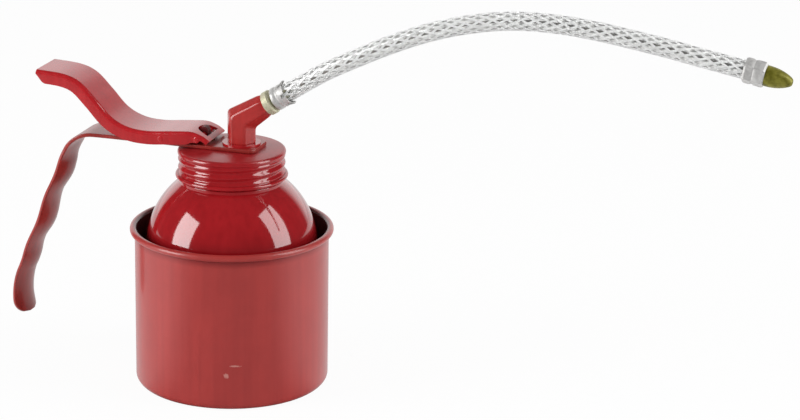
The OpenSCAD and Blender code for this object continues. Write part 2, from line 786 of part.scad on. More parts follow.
// Crimped sleeve whose far end is slit into six claws that flare from the hose
module root_ferrule() {
    lip_low = fitting_t + groove_t;
    high = lip_low + ferrule_len;
    bite = hose_d / 2 + 0.05;
    waist = ferrule_r - 0.3;
    claw_low = high - claw_len;
    color(STEEL) at_mouth() difference() {
        rotate_extrude() polygon([[barb_r + 0.2, lip_low], [ferrule_r - 0.4, lip_low],
            [ferrule_r, lip_low + 0.4], [ferrule_r, lip_low + 1.6], [waist, lip_low + 2],
            [waist, lip_low + 2.8], [ferrule_r, lip_low + 3.2], [ferrule_r - 0.1, claw_low - 0.3],
            [ferrule_r + 0.45, high], [ferrule_r - 0.1, high], [bite, claw_low + 0.4],
            [bite, hose_start], [barb_r + 0.2, hose_start]]);
        for (a = [30, 90, 150]) rotate(a) translate([-10, -claw_gap / 2, claw_low])
            cube([20, claw_gap, claw_len + 1]);
    }
}

module flex_hose() {
    arm = [cos(arm_rise), sin(arm_rise)];
    mouth = [spout_fwd, elbow_up] + arm_len * arm;
    nose = [cos(tip_droop), -sin(tip_droop)];
    way = concat([mouth + hose_start * arm, mouth + (hose_start + 8) * arm], HOSE_WAY,
        [TIP, TIP + tip_hose_depth * nose]);
    color(CLEAR) on_deck() hose_along(way, hose_d / 2, hose_bore / 2);
}

module tip_ferrule() {
    corner = tip_af / sqrt(3);
    color(STEEL) at_tip() difference() {
        intersection() {
            six_bar(tip_af, 0, tip_len);
            rotate_extrude() polygon([[0, 0], [corner - 0.6, 0], [corner, 0.8], [corner, tip_len - 0.8],
                [corner - 0.6, tip_len], [0, tip_len]]);
        }
        translate([0, 0, -1]) cylinder(r = hose_d / 2 + 0.05, h = tip_hose_depth + 1);
        translate([0, 0, tip_hose_depth - EPS]) cylinder(r = bullet_r, h = 5);
    }
}

module spout_nozzle() {
    bullet_low = tip_len;
    color(OLIVE) at_tip() difference() {
        union() {
            barbs_up = tip_hose_depth + EPS;
            translate([0, 0, barbs_up]) mirror([0, 0, 1]) barbs(0, 14);
            translate([0, 0, tip_hose_depth]) cylinder(r = bullet_r, h = bullet_low - tip_hose_depth);
            rotate_extrude() polygon(concat([[0, bullet_low - EPS], [bullet_r, bullet_low - EPS]],
                [for (t = [0 : 0.1 : 1]) [bullet_r + 0.1 - 2.1 * t * t * (0.6 + 0.4 * t),
                    bullet_low + 0.3 + (nozzle_len - 1.1) * t]],
                [[1.3, bullet_low + nozzle_len - 0.2], [0.9, bullet_low + nozzle_len],
                    [0, bullet_low + nozzle_len]]));
        }
        translate([0, 0, -20]) cylinder(r = 0.8, h = 60);
        translate([0, 0, -20]) cylinder(r = 1.3, h = 24);
    }
}

outer_cup();
dome_shell();
neck_ring();
cap_gasket();
screw_cap();
handle_strap();
thumb_lever();
fulcrum_pin();
drive_pin();
piston_rod();
piston();
piston_seal();
piston_ball();
return_spring();
pump_head();
gland_nut();
gland_packing();
pump_cylinder();
passage_plug();
foot_valve();
foot_ball();
suction_tube();
strainer();
outlet_ball();
outlet_spring();
spout_washer();
spout_elbow();
hose_fitting();
root_ferrule();
flex_hose();
tip_ferrule();
spout_nozzle();
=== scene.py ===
import math

import bmesh
import bpy
from mathutils import Matrix, Vector


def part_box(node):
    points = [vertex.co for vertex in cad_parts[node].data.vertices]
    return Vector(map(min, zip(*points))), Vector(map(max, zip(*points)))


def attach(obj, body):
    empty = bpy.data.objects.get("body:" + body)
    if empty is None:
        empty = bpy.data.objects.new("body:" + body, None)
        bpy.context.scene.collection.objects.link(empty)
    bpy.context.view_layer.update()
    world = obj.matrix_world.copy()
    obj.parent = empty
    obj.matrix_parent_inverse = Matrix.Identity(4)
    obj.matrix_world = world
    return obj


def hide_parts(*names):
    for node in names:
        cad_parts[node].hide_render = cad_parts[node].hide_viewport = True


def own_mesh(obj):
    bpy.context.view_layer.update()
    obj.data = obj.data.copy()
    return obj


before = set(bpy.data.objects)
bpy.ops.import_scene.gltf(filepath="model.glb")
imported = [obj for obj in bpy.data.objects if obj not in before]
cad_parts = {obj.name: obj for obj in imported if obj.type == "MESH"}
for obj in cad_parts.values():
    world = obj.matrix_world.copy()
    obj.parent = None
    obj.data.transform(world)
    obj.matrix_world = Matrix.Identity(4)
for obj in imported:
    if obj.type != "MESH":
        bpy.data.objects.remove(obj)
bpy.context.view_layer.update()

# Hand oiler: a red enamelled can with a screw cap, a strap handle, a thumb lever and a lift pump,
# and a clear braided hose as its spout. Z is up, X runs along the spout, and the origin is the
# middle of the base. Sizes are in millimetres, and in metres in materials, camera and lamps.


# Studio camera
# A long lens from a little above the rim, turned toward the side that shows lever and spout. Its
# place and angles were fitted to the outlines of base, rim and cap.
CAMERA_AT = (0.39227, -1.02191, 0.42013)
HEADING, TILT, ROLL = math.radians(17.5557), math.radians(72.2607), math.radians(0.9507)


def new_object(name, data):
    """An object in the scene for a mesh, a curve, a lamp or the camera."""
    made = bpy.data.objects.new(name, data)
    bpy.context.scene.collection.objects.link(made)
    return made


camera_data = bpy.data.cameras.new("studio_camera")
camera_data.lens = 131.98
camera_data.sensor_width = 36
camera_data.clip_end = 20
camera = new_object("studio_camera", camera_data)
turn = (Matrix.Rotation(HEADING, 4, "Z") @ Matrix.Rotation(TILT, 4, "X")
        @ Matrix.Rotation(ROLL, 4, "Z"))
camera.matrix_world = Matrix.Translation(CAMERA_AT) @ turn
bpy.context.scene.camera = camera
bpy.context.scene.view_settings.view_transform = "Standard"


# Hose
# Clear soft PVC tube, 7.2 mm outside and 5 mm inside, extruded over a braid of white yarn and
# pushed on a barbed fitting in the elbow. It is stiff enough to stand out in one low arch.
def linear(code):
    """An sRGB hex colour as the linear colour that a socket takes."""
    parts = [int(code[i:i + 2], 16) / 255 for i in (1, 3, 5)]
    return [c / 12.92 if c <= 0.04045 else ((c + 0.055) / 1.055) ** 2.4 for c in parts] + [1]


def add(tree, kind, inputs=(), **settings):
    """Adds a node; an input is a number, a colour, a vector or another node's output."""
    made = tree.nodes.new(kind)
    for name, value in settings.items():
        setattr(made, name, value)
    for name, value in dict(inputs).items():
        if isinstance(value, bpy.types.NodeSocket):
            tree.links.new(value, made.inputs[name])
        else:
            made.inputs[name].default_value = value
    return made


def blank_finish(name):
    """A new material with its tree, the place on the object that it reads, and its output."""
    material = bpy.data.materials.new(name)
    material.use_nodes = True
    tree = material.node_tree
    tree.nodes.clear()
    place = add(tree, "ShaderNodeTexCoord").outputs["Object"]
    return material, tree, place, add(tree, "ShaderNodeOutputMaterial")


def place_on(body, piece, slot, *nodes):
    """The piece rides on its body and stands for its solids, which are hidden; the slot is not
    used.
    """
    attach(piece, body)
    if nodes:
        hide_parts(*nodes)


def smooth_line(points, steps):
    """A curve through the given points, with so many steps between neighbours."""
    line = []
    for i in range(len(points) - 1):
        a, b = points[max(i - 1, 0)], points[i]
        c, d = points[i + 1], points[min(i + 2, len(points) - 1)]
        for k in range(steps):
            t = k / steps
            line.append(0.5 * (2 * b + (c - a) * t + (2 * a - 5 * b + 4 * c - d) * t * t
                               + (3 * b - a - 3 * c + d) * t * t * t))
    return line + [points[-1]]


def mesh_piece(name, form, material, sharp=40):
    """A shown piece from a finished form, smooth but for edges that turn more than so far."""
    mesh = bpy.data.meshes.new(name)
    form.to_mesh(mesh)
    form.free()
    mesh.shade_smooth()
    mesh.set_sharp_from_angle(angle=math.radians(sharp))
    mesh.materials.append(material)
    return new_object(name, mesh)


def piece_from(name, rings, material, closed=False, sharp=40):
    """A piece from rings of points, joined one to the next, and capped where the row ends."""
    form = bmesh.new()
    rows = [[form.verts.new(Vector(p) * MM) for p in ring] for ring in rings]
    count = len(rings[0])
    for i in range(len(rows) if closed else len(rows) - 1):
        here, there = rows[i], rows[(i + 1) % len(rows)]
        for k in range(count):
            m = (k + 1) % count
            form.faces.new((here[k], here[m], there[m], there[k]))
    if not closed:
        form.faces.new(rows[0])
        form.faces.new(rows[-1])
    bmesh.ops.remove_doubles(form, verts=form.verts, dist=1e-7)
    bmesh.ops.recalc_face_normals(form, faces=form.faces)
    return mesh_piece(name, form, material, sharp)


def direction(line, i):
    """The way that a line runs at one of its points."""
    return (line[min(i + 1, len(line) - 1)] - line[max(i - 1, 0)]).normalized()


def tube_rings(line, radius, painted_side_light):
    """Rings round a line that lies in the middle plane."""
    rings = []
    for i, p in enumerate(line):
        along = direction(line, i)
        up = Vector((-along.z, 0, along.x))
        rings.append([p + radius * (math.cos(a) * up + math.sin(a) * Vector((0, 1, 0)))
                      for a in (2 * math.pi * k / painted_side_light for k in range(painted_side_light))])
    return rings


MM = 0.001
HOSE_R, HOSE_BORE_R, HOSE_SIDES = 3.6, 2.5, 32
# The cap's top, from which the heights of all pieces on the head are measured
DECK = round(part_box("screw_cap")[1][2] / MM, 4)
# The elbow's mouth holds the hose's root, and the second sleeve starts at the tip
SPOUT_X, ELBOW_UP, ARM_LENGTH, ARM_RISE = 4.1, 11.5, 12.5, math.radians(33)
arm = Vector((math.cos(ARM_RISE), 0, math.sin(ARM_RISE)))
mouth = Vector((SPOUT_X, 0, DECK + ELBOW_UP)) + ARM_LENGTH * arm
TIP_DROOP = math.radians(10.5)
nose = Vector((math.cos(TIP_DROOP), 0, -math.sin(TIP_DROOP)))
tip = Vector((199.5, 0, DECK + 50.1))
ROOT_START, ROOT_END, TIP_END = 4.8, 12.8, 6.6
hose_way = [mouth + ROOT_START * arm, mouth + ROOT_END * arm]
for x, up in ((38, 33.4), (50, 39.7), (62, 45.6), (74, 50.8), (86, 55), (98, 58), (110, 60),
              (122, 60.6), (134, 60.2), (146, 59), (158, 57.3), (170, 55.4), (182, 53.2),
              (191, 51.6)):
    hose_way.append(Vector((x, 0, DECK + up)))
hose_way += [tip, tip + TIP_END * nose]
hose_line = smooth_line(hose_way, steps=8)

# Clear plasticised PVC with a soft gloss on its skin, hazed in patches of about 3 mm; a low IOR,
# because its thin wall lets the braid be seen almost unbent
clear_pvc, tree, place, output = blank_finish("clear_extruded_pvc")
haze = add(tree, "ShaderNodeTexNoise", {"Vector": place, "Scale": 300, "Detail": 3})
gloss = add(tree, "ShaderNodeMapRange",
            {"Value": haze.outputs["Fac"], "To Min": 0.06, "To Max": 0.2})
shader = add(tree, "ShaderNodeBsdfPrincipled", {
    "Base Color": linear("#FEFEFD"), "Roughness": gloss.outputs[0], "IOR": 1.2,
    "Transmission Weight": 0.95, "Coat Weight": 1.0, "Coat Roughness": 0.08})
tree.links.new(shader.outputs[0], output.inputs["Surface"])
outer_rings = tube_rings(hose_line, HOSE_R, HOSE_SIDES)
inner_rings = tube_rings(hose_line, HOSE_BORE_R, HOSE_SIDES)
hose = piece_from("clear_hose", outer_rings + inner_rings[::-1], clear_pvc, closed=True)
place_on("head", hose, "clear_hose", "flex_hose")

# Painted shade of the bore: a dark thread stands in its middle between the barbs of fitting and
# nozzle, seen in dashes between the yarns, and is painted darker toward the nozzle
SHADE_THREAD_R, SHADE_THREAD_FROM, SHADE_THREAD_TO = 0.55, 10, -8
bore_shade_finish, tree, place, output = blank_finish("painted_bore_shade")
spot = add(tree, "ShaderNodeSeparateXYZ", {"Vector": place})
shade_along = add(tree, "ShaderNodeMapRange",
          {"Value": spot.outputs["X"], "From Min": 0.02, "From Max": 0.12})
tint = add(tree, "ShaderNodeValToRGB", {"Fac": shade_along.outputs[0]})
tint.color_ramp.elements[0].color = linear("#857C74")
tint.color_ramp.elements[1].color = linear("#45423A")
shader = add(tree, "ShaderNodeBsdfPrincipled", {
    "Base Color": tint.outputs[0], "Roughness": 0.2, "IOR": 1.47})
tree.links.new(shader.outputs[0], output.inputs["Surface"])
shade_thread_rings = tube_rings(hose_line[SHADE_THREAD_FROM:SHADE_THREAD_TO], SHADE_THREAD_R, 12)
shade_thread = piece_from("painted_bore_shade_thread", shade_thread_rings, bore_shade_finish)
place_on("head", shade_thread, "clear_hose")


# Braid
# Sixteen white polyester yarns between the hose's two layers, eight wound each way, so that
# they cross in diamonds. Each yarn is three bundles side by side and weaves over and under.
yarn_white, tree, place, output = blank_finish("white_polyester_yarn")
# The filaments' glints are about 0.4 mm apart
strands = add(tree, "ShaderNodeTexNoise", {"Vector": place, "Scale": 2500, "Detail": 2})
shade = add(tree, "ShaderNodeValToRGB", {"Fac": strands.outputs["Fac"]})
shade.color_ramp.elements[0].color = linear("#E4E5E5")
shade.color_ramp.elements[1].color = linear("#FDFDFD")
bump = add(tree, "ShaderNodeBump",
           {"Height": strands.outputs["Fac"], "Strength": 0.3, "Distance": 0.0001})
shader = add(tree, "ShaderNodeBsdfPrincipled", {
    "Base Color": shade.outputs[0], "Roughness": 0.45, "Normal": bump.outputs[0],
    "Sheen Weight": 0.3})
tree.links.new(shader.outputs[0], output.inputs["Surface"])

YARNS = 16
braid_tree = bpy.data.node_groups.new("braid", "GeometryNodeTree")
braid_tree.interface.new_socket("Way", in_out="INPUT", socket_type="NodeSocketGeometry")
sockets = {}
for name, kind, value in (("Yarns", "Int", YARNS), ("Bundles", "Int", 3),
                          ("Spread", "Float", 0.1), ("Radius", "Float", 0.0031),
                          ("Pitch", "Float", 0.0435), ("Bundle Radius", "Float", 0.00016),
                          ("Weave", "Float", 0.00012), ("Step", "Float", 0.001)):
    socket = braid_tree.interface.new_socket(name, in_out="INPUT",
                                             socket_type="NodeSocket" + kind)
    socket.default_value = value
    sockets[name] = socket.identifier
braid_tree.interface.new_socket("Braid", in_out="OUTPUT", socket_type="NodeSocketGeometry")
given = add(braid_tree, "NodeGroupInput").outputs

resampled = add(braid_tree, "GeometryNodeResampleCurve",
                {"Curve": given["Way"], "Length": given["Step"]}, mode="LENGTH")
bundles = add(braid_tree, "ShaderNodeMath", {0: given["Yarns"], 1: given["Bundles"]},
              operation="MULTIPLY")
copies = add(braid_tree, "GeometryNodeDuplicateElements",
             {"Geometry": resampled.outputs[0], "Amount": bundles.outputs[0]}, domain="SPLINE")
known = {name: given[name] for name in sockets}
known["Copy"] = copies.outputs["Duplicate Index"]
known["Length"] = add(braid_tree, "GeometryNodeSplineParameter").outputs["Length"]
# One step of arithmetic a row: the result's name, what is done, and with what. Every other yarn
# is wound the other way, and where two cross, one goes out and the other in.
for name, operation, a, b in (
        ("bundle", "MODULO", "Copy", "Bundles"), ("others", "SUBTRACT", "Bundles", 1.0),
        ("middle", "DIVIDE", "others", 2.0), ("off middle", "SUBTRACT", "bundle", "middle"),
        ("aside", "MULTIPLY", "Spread", "off middle"),
        ("yarn and rest", "DIVIDE", "Copy", "Bundles"), ("yarn", "FLOOR", "yarn and rest", 0.0),
        ("odd", "MODULO", "yarn", 2.0), ("twice odd", "MULTIPLY", 2.0, "odd"),
        ("hand", "SUBTRACT", 1.0, "twice odd"),
        ("half yarn", "DIVIDE", "yarn", 2.0), ("pair", "FLOOR", "half yarn", 0.0),
        ("each way", "DIVIDE", "Yarns", 2.0), ("start", "DIVIDE", "pair", "each way"),
        ("turns", "DIVIDE", "Length", "Pitch"), ("wound", "MULTIPLY", "hand", "turns"),
        ("round", "ADD", "wound", "start"), ("circle", "MULTIPLY", 2 * math.pi, "round"),
        ("angle", "ADD", "aside", "circle"),
        ("cosine", "COSINE", "angle", 0.0), ("sine", "SINE", "angle", 0.0),
        ("crossings", "MULTIPLY", "turns", "each way"),
        ("phase", "MULTIPLY", 2 * math.pi, "crossings"), ("wave", "COSINE", "phase", 0.0),
        ("over", "MULTIPLY", "hand", "wave"), ("weaving", "MULTIPLY", "Weave", "over"),
        ("out", "ADD", "Radius", "weaving")):
    step = add(braid_tree, "ShaderNodeMath", {0: known.get(a, a), 1: known.get(b, b)},
               operation=operation)
    known[name] = step.outputs[0]
normal = add(braid_tree, "GeometryNodeInputNormal").outputs[0]
along = add(braid_tree, "GeometryNodeInputTangent").outputs[0]
beside = add(braid_tree, "ShaderNodeVectorMath", {0: along, 1: normal},
             operation="CROSS_PRODUCT")
upward = add(braid_tree, "ShaderNodeVectorMath", {0: normal, "Scale": known["cosine"]},
             operation="SCALE")
sideways = add(braid_tree, "ShaderNodeVectorMath",
               {0: beside.outputs[0], "Scale": known["sine"]}, operation="SCALE")
outward = add(braid_tree, "ShaderNodeVectorMath",
              {0: upward.outputs[0], 1: sideways.outputs[0]}, operation="ADD")
offset = add(braid_tree, "ShaderNodeVectorMath",
             {0: outward.outputs[0], "Scale": known["out"]}, operation="SCALE")
wound = add(braid_tree, "GeometryNodeSetPosition",
            {"Geometry": copies.outputs[0], "Offset": offset.outputs[0]})
thread = add(braid_tree, "GeometryNodeCurvePrimitiveCircle",
             {"Resolution": 5, "Radius": given["Bundle Radius"]})
solid = add(braid_tree, "GeometryNodeCurveToMesh",
            {"Curve": wound.outputs[0], "Profile Curve": thread.outputs[0], "Fill Caps": True})
real = add(braid_tree, "GeometryNodeRealizeInstances", {"Geometry": solid.outputs[0]})
dressed = add(braid_tree, "GeometryNodeSetMaterial",
              {"Geometry": real.outputs[0], "Material": yarn_white})
braid_tree.links.new(dressed.outputs[0], add(braid_tree, "NodeGroupOutput").inputs["Braid"])


def settled(source, name):
    """The plain mesh that a source object and its modifiers come to."""
    bpy.context.view_layer.update()
    shape = bpy.data.meshes.new_from_object(
        source.evaluated_get(bpy.context.evaluated_depsgraph_get()))
    source.modifiers.clear()
    shape.name = name
    return shape


way = bpy.data.curves.new("hose_way", "CURVE")
way.dimensions = "3D"
spline = way.splines.new("POLY")
spline.points.add(len(hose_line) - 1)
for point, p in zip(spline.points, hose_line):
    point.co = (*(p * MM), 1)
way_object = new_object("hose_way", way)
modifier = way_object.modifiers.new("grow", "NODES")
modifier.node_group = braid_tree
modifier[sockets["Yarns"]] = YARNS
braid_mesh = settled(way_object, "hose_braid")
bpy.data.objects.remove(way_object)
braid_mesh.shade_smooth()
braid = new_object("hose_braid", braid_mesh)
place_on("head", braid, "clear_hose")


# Can
# Deep-drawn steel cup with a bead rolled at its rim, sprayed with red enamel. The paint on the
# cup is a satin coat, rubbed dull by hands, and chipped near the base.
CUP_R, SHEET, RIM_Z, BEAD_R, CORNER_R = 38.0, 0.8, 62.3, 1.35, 3.0
cup_in = CUP_R - SHEET
LATHE_SIDES = 192


def lathe(name, profile, material, thread=None):
    """A piece turned round Z from a closed profile of (radius, height, thread depth)."""
    rings = []
    for k in range(LATHE_SIDES):
        a = 2 * math.pi * k / LATHE_SIDES
        ring = []
        for r, z, depth in profile:
            out = r + depth * math.cos(a - 2 * math.pi * z / thread) if depth else r
            ring.append((out * math.cos(a), out * math.sin(a), z))
        rings.append(ring)
    return piece_from(name, rings, material, closed=True, sharp=35)


def arc(r, z, radius, start, end, steps):
    """Points on an arc of a profile, from one angle to another in degrees."""
    return [(r + radius * math.cos(math.radians(start + (end - start) * i / steps)),
             z + radius * math.sin(math.radians(start + (end - start) * i / steps)), 0)
            for i in range(steps + 1)]


def enamel(name, colour, dark, roughness, coat, grain=0.0):
    """Stoved red enamel on steel: a soft mottle, a fine orange peel and fine drawing streaks."""
    material, tree, place, output = blank_finish(name)
    # The mottle is about 12 mm across, the streaks 2.4 mm apart and the orange peel 1.5 mm
    mottle = add(tree, "ShaderNodeTexNoise", {"Vector": place, "Scale": 85, "Detail": 3})
    drawn = add(tree, "ShaderNodeMapping", {"Vector": place, "Scale": (1, 1, 0.03)})
    streaks = add(tree, "ShaderNodeTexNoise",
                  {"Vector": drawn.outputs[0], "Scale": 420, "Detail": 2})
    blend = add(tree, "ShaderNodeMath",
                {0: mottle.outputs["Fac"], 1: streaks.outputs["Fac"]}, operation="MULTIPLY")
    tone = add(tree, "ShaderNodeValToRGB", {"Fac": blend.outputs[0]})
    for stop, code, at in zip(tone.color_ramp.elements, (dark, colour), (0.1, 0.35)):
        stop.color, stop.position = linear(code), at
    peel = add(tree, "ShaderNodeTexNoise", {"Vector": place, "Scale": 650, "Detail": 1})
    rough = add(tree, "ShaderNodeMapRange", {
        "Value": streaks.outputs["Fac"], "To Min": roughness - grain,
        "To Max": roughness + grain})
    bump = add(tree, "ShaderNodeBump",
               {"Height": peel.outputs["Fac"], "Strength": 0.05, "Distance": 0.0001})
    shader = add(tree, "ShaderNodeBsdfPrincipled", {
        "Base Color": tone.outputs[0], "Roughness": rough.outputs[0],
        "Normal": bump.outputs[0], "Coat Weight": coat, "Coat Roughness": 0.03, "IOR": 1.5})
    tree.links.new(shader.outputs[0], output.inputs["Surface"])
    return material, tree, shader, tone


satin_red, tree, shader, tone = enamel(
    "satin_red_enamel", "#AE332F", "#A42F2C", 0.42, 0.6, 0.02)
shader.inputs["Coat Roughness"].default_value = 0.16
# Two chips near the base, 1 to 3 mm across, with an edge ragged by 0.7 mm and worn to a pale
# pink primer
place = add(tree, "ShaderNodeTexCoord").outputs["Object"]
ragged = add(tree, "ShaderNodeTexNoise", {"Vector": place, "Scale": 1400, "Detail": 2})
chips = None
for middle, stretch in (((0.0114, -0.0363, 0.0146), (1, 1, 0.9)),
                        ((0.0146, -0.0350, 0.0185), (0.45, 0.45, 2.4))):
    away = add(tree, "ShaderNodeVectorMath", {0: place, 1: middle}, operation="SUBTRACT")
    shaped = add(tree, "ShaderNodeVectorMath", {0: away.outputs[0], 1: stretch},
                 operation="MULTIPLY")
    span = add(tree, "ShaderNodeVectorMath", {0: shaped.outputs[0]}, operation="LENGTH")
    torn = add(tree, "ShaderNodeMath",
               {0: ragged.outputs["Fac"], 1: 0.0014, 2: span.outputs["Value"]},
               operation="MULTIPLY_ADD")
    mask = add(tree, "ShaderNodeMapRange", {
        "Value": torn.outputs[0], "From Min": 0.0013, "From Max": 0.0018,
        "To Min": 0.5, "To Max": 0.0})
    chips = mask if chips is None else add(
        tree, "ShaderNodeMath", {0: chips.outputs[0], 1: mask.outputs[0]}, operation="MAXIMUM")
worn = add(tree, "ShaderNodeMixRGB", {"Fac": chips.outputs[0], "Color1": tone.outputs[0],
                                      "Color2": linear("#D9A49A")})
# Painted shade of the bead: the wall just under it is painted a deeper red
spot = add(tree, "ShaderNodeSeparateXYZ", {"Vector": place})
bead_shade_band = add(tree, "ShaderNodeMapRange", {
    "Value": spot.outputs["Z"], "From Min": (RIM_Z - 4.5) * MM, "From Max": (RIM_Z - 1.5) * MM,
    "To Min": 0.0, "To Max": 0.95})
level = add(tree, "ShaderNodeVectorMath", {0: place, 1: (1, 1, 0)}, operation="MULTIPLY")
from_axis = add(tree, "ShaderNodeVectorMath", {0: level.outputs[0]}, operation="LENGTH")
on_wall = add(tree, "ShaderNodeMapRange", {
    "Value": from_axis.outputs["Value"], "From Min": (CUP_R + 0.1) * MM,
    "From Max": (CUP_R + 0.5) * MM, "To Min": 1.0, "To Max": 0.0})
bead_shade_mask = add(tree, "ShaderNodeMath", {0: bead_shade_band.outputs[0], 1: on_wall.outputs[0]},
                 operation="MULTIPLY")
bead_shaded = add(tree, "ShaderNodeMixRGB", {
    "Fac": bead_shade_mask.outputs[0], "Color1": worn.outputs[0], "Color2": linear("#860A0E")})
# The cup's inner wall, in the narrow gap beside the dome, is darkened almost to black from 10 mm up
inner = add(tree, "ShaderNodeMapRange", {
    "Value": from_axis.outputs["Value"], "From Min": (cup_in + 0.1) * MM,
    "From Max": (cup_in + 0.6) * MM, "To Min": 0.85, "To Max": 0.0})
over_base = add(tree, "ShaderNodeMapRange",
                {"Value": spot.outputs["Z"], "From Min": 0.010, "From Max": 0.012})
inner_wall_dark_mask = add(tree, "ShaderNodeMath", {0: inner.outputs[0], 1: over_base.outputs[0]},
            operation="MULTIPLY")
inner_wall_darkened = add(tree, "ShaderNodeMixRGB", {
    "Fac": inner_wall_dark_mask.outputs[0], "Color1": bead_shaded.outputs[0], "Color2": linear("#2B1F1E")})
tree.links.new(inner_wall_darkened.outputs[0], shader.inputs["Base Color"])

wall_heights = [12, 24, 36, 48, 58]
cup_profile = [(0, 0, 0)] + arc(CUP_R - CORNER_R, CORNER_R, CORNER_R, -90, 0, 10)
cup_profile += [(CUP_R, z, 0) for z in wall_heights + [RIM_Z - 1.5]]
cup_profile += arc(cup_in + BEAD_R, RIM_Z, BEAD_R, -70, 180, 22)
cup_profile += [(cup_in, z, 0) for z in wall_heights[::-1]]
cup_profile += arc(CUP_R - CORNER_R, CORNER_R, CORNER_R - SHEET, 0, -90, 8) + [(0, SHEET, 0)]
cup = lathe("drawn_cup", cup_profile, satin_red)
place_on("can", cup, "red_enamel", "outer_cup")


# Dome and neck
# Pressed steel shoulder, a part of a ball that carries the neck with its rolled thread. Its
# skirt is seamed inside the cup, and it keeps a deep wet gloss where no hand rubs it.
gloss_red = enamel("gloss_red_enamel", "#A51A20", "#98151B", 0.09, 0.8)[0]
DOME_Z, DOME_R, COLLAR_R, COLLAR_H = 55.1, 33.7, 20.5, 1.35
NECK_WALL_R, NECK_BORE_R, PITCH = 18.8, 18.2, 3.3
COLLAR_TOP, NECK_TOP, THREAD_LOW = DECK - 12.4, DECK - 2.0, DECK - 10.2
inner_dome, seam_r = DOME_R - SHEET, cup_in - SHEET


def threaded(wall, rise, depth, low, high, steps, fade):
    """Points of a wall that rises into a rolled thread and fades out of it at both ends."""
    points = []
    for i in range(steps + 1):
        ease = min(1, i / fade, (steps - i) / fade)
        points.append((wall + rise * ease, low + (high - low) * i / steps, depth * ease))
    return points


top_angle = math.degrees(math.acos(COLLAR_R / DOME_R))
low_angle = math.degrees(math.acos(NECK_BORE_R / inner_dome))
dome_profile = [(DOME_R, DOME_Z - 6, 0), (DOME_R, DOME_Z - 3, 0)]
dome_profile += arc(0, DOME_Z, DOME_R, 0, top_angle, 26)
dome_profile += arc(COLLAR_R - 0.35, COLLAR_TOP - 0.35, 0.35, 0, 90, 4)
dome_profile += [(NECK_WALL_R + 0.1, COLLAR_TOP, 0), (NECK_WALL_R, COLLAR_TOP + 0.4, 0)]
dome_profile += threaded(NECK_WALL_R, 0.5, 0.35, THREAD_LOW, NECK_TOP - 1.2, 23, 3)
dome_profile += [(NECK_WALL_R, NECK_TOP, 0), (NECK_BORE_R, NECK_TOP, 0),
                 (NECK_BORE_R, COLLAR_TOP - COLLAR_H - 1, 0)]
dome_profile += arc(0, DOME_Z, inner_dome, low_angle, 0, 20)
dome_profile += [(inner_dome, DOME_Z - 6.5, 0), (seam_r, DOME_Z - 9.5, 0),
                 (seam_r, DOME_Z - 15, 0), (cup_in, DOME_Z - 15, 0), (cup_in, DOME_Z - 9, 0)]
dome = lathe("dome_and_neck", dome_profile, gloss_red, thread=PITCH)
place_on("can", dome, "red_enamel", "dome_shell", "neck_ring")


# Screw cap
# Pressed steel cap with the same thread rolled through its skirt, so that its ridges show
# outside, and a curled lower edge. Enamelled with the rest, over the crimped pump head.
cap_red, tree, shader, tone = enamel("cap_red_enamel", "#A51A20", "#98151B", 0.09, 0.0)
# A high IOR for the skirt's thick polished coat, which hands have rubbed dull on the deck
shader.inputs["IOR"].default_value = 1.75
place = add(tree, "ShaderNodeTexCoord").outputs["Object"]
spot = add(tree, "ShaderNodeSeparateXYZ", {"Vector": place})
rubbed = add(tree, "ShaderNodeMapRange", {
    "Value": spot.outputs["Z"], "From Min": (DECK - 1.8) * MM, "From Max": (DECK - 0.8) * MM,
    "To Min": 0.08, "To Max": 0.34})
tree.links.new(rubbed.outputs[0], shader.inputs["Roughness"])
CAP_OUT_R, CAP_IN_R, RIM_OUT_R, RIM_SOFT_R, CURL_R = 20.5, 19.5, 21.1, 1.2, 0.85
# The deck is flat under the elbow and falls away in a shallow crown toward its edge
CROWN_FLAT_R, CROWN_FALL, CROWN_STEPS = 9.0, 0.7, 12
cap_profile = [(0, DECK, 0)]
for i in range(CROWN_STEPS + 1):
    t = i / CROWN_STEPS
    cap_profile.append((CROWN_FLAT_R + (RIM_OUT_R - 1 - CROWN_FLAT_R) * t,
                        DECK - CROWN_FALL * t * t, 0))
cap_profile += arc(RIM_OUT_R - RIM_SOFT_R, DECK - CROWN_FALL - RIM_SOFT_R, RIM_SOFT_R, 80, 0, 7)
cap_profile += [(RIM_OUT_R - 0.05, DECK - 2.35, 0), (RIM_OUT_R - 0.2, DECK - 2.5, 0)]
# The skirt's wall stands out a little above and below the thread, outside and inside
STAND_OUT, THREAD_HIGH = 0.25, DECK - 2.7
cap_profile += threaded(CAP_OUT_R + STAND_OUT, -STAND_OUT, 0.4, THREAD_HIGH, THREAD_LOW, 43, 4)
cap_profile += arc(RIM_OUT_R, DECK - 11.15, CURL_R, 110, -90, 12)
cap_profile += [(19.95, DECK - 12, 0), (19.95, DECK - 10.6, 0)]
cap_profile += threaded(CAP_IN_R + STAND_OUT, -STAND_OUT, 0.35, THREAD_LOW, THREAD_HIGH, 43, 4)
cap_profile += [(19.0, DECK - 2.3, 0), (19.0, DECK - SHEET, 0), (0, DECK - SHEET, 0)]
cap = lathe("screw_cap_shell", cap_profile, cap_red, thread=PITCH)


def settle(piece):
    """Makes a piece's modifiers part of its mesh."""
    old = piece.data
    piece.data = settled(piece, old.name)
    bpy.data.meshes.remove(old)


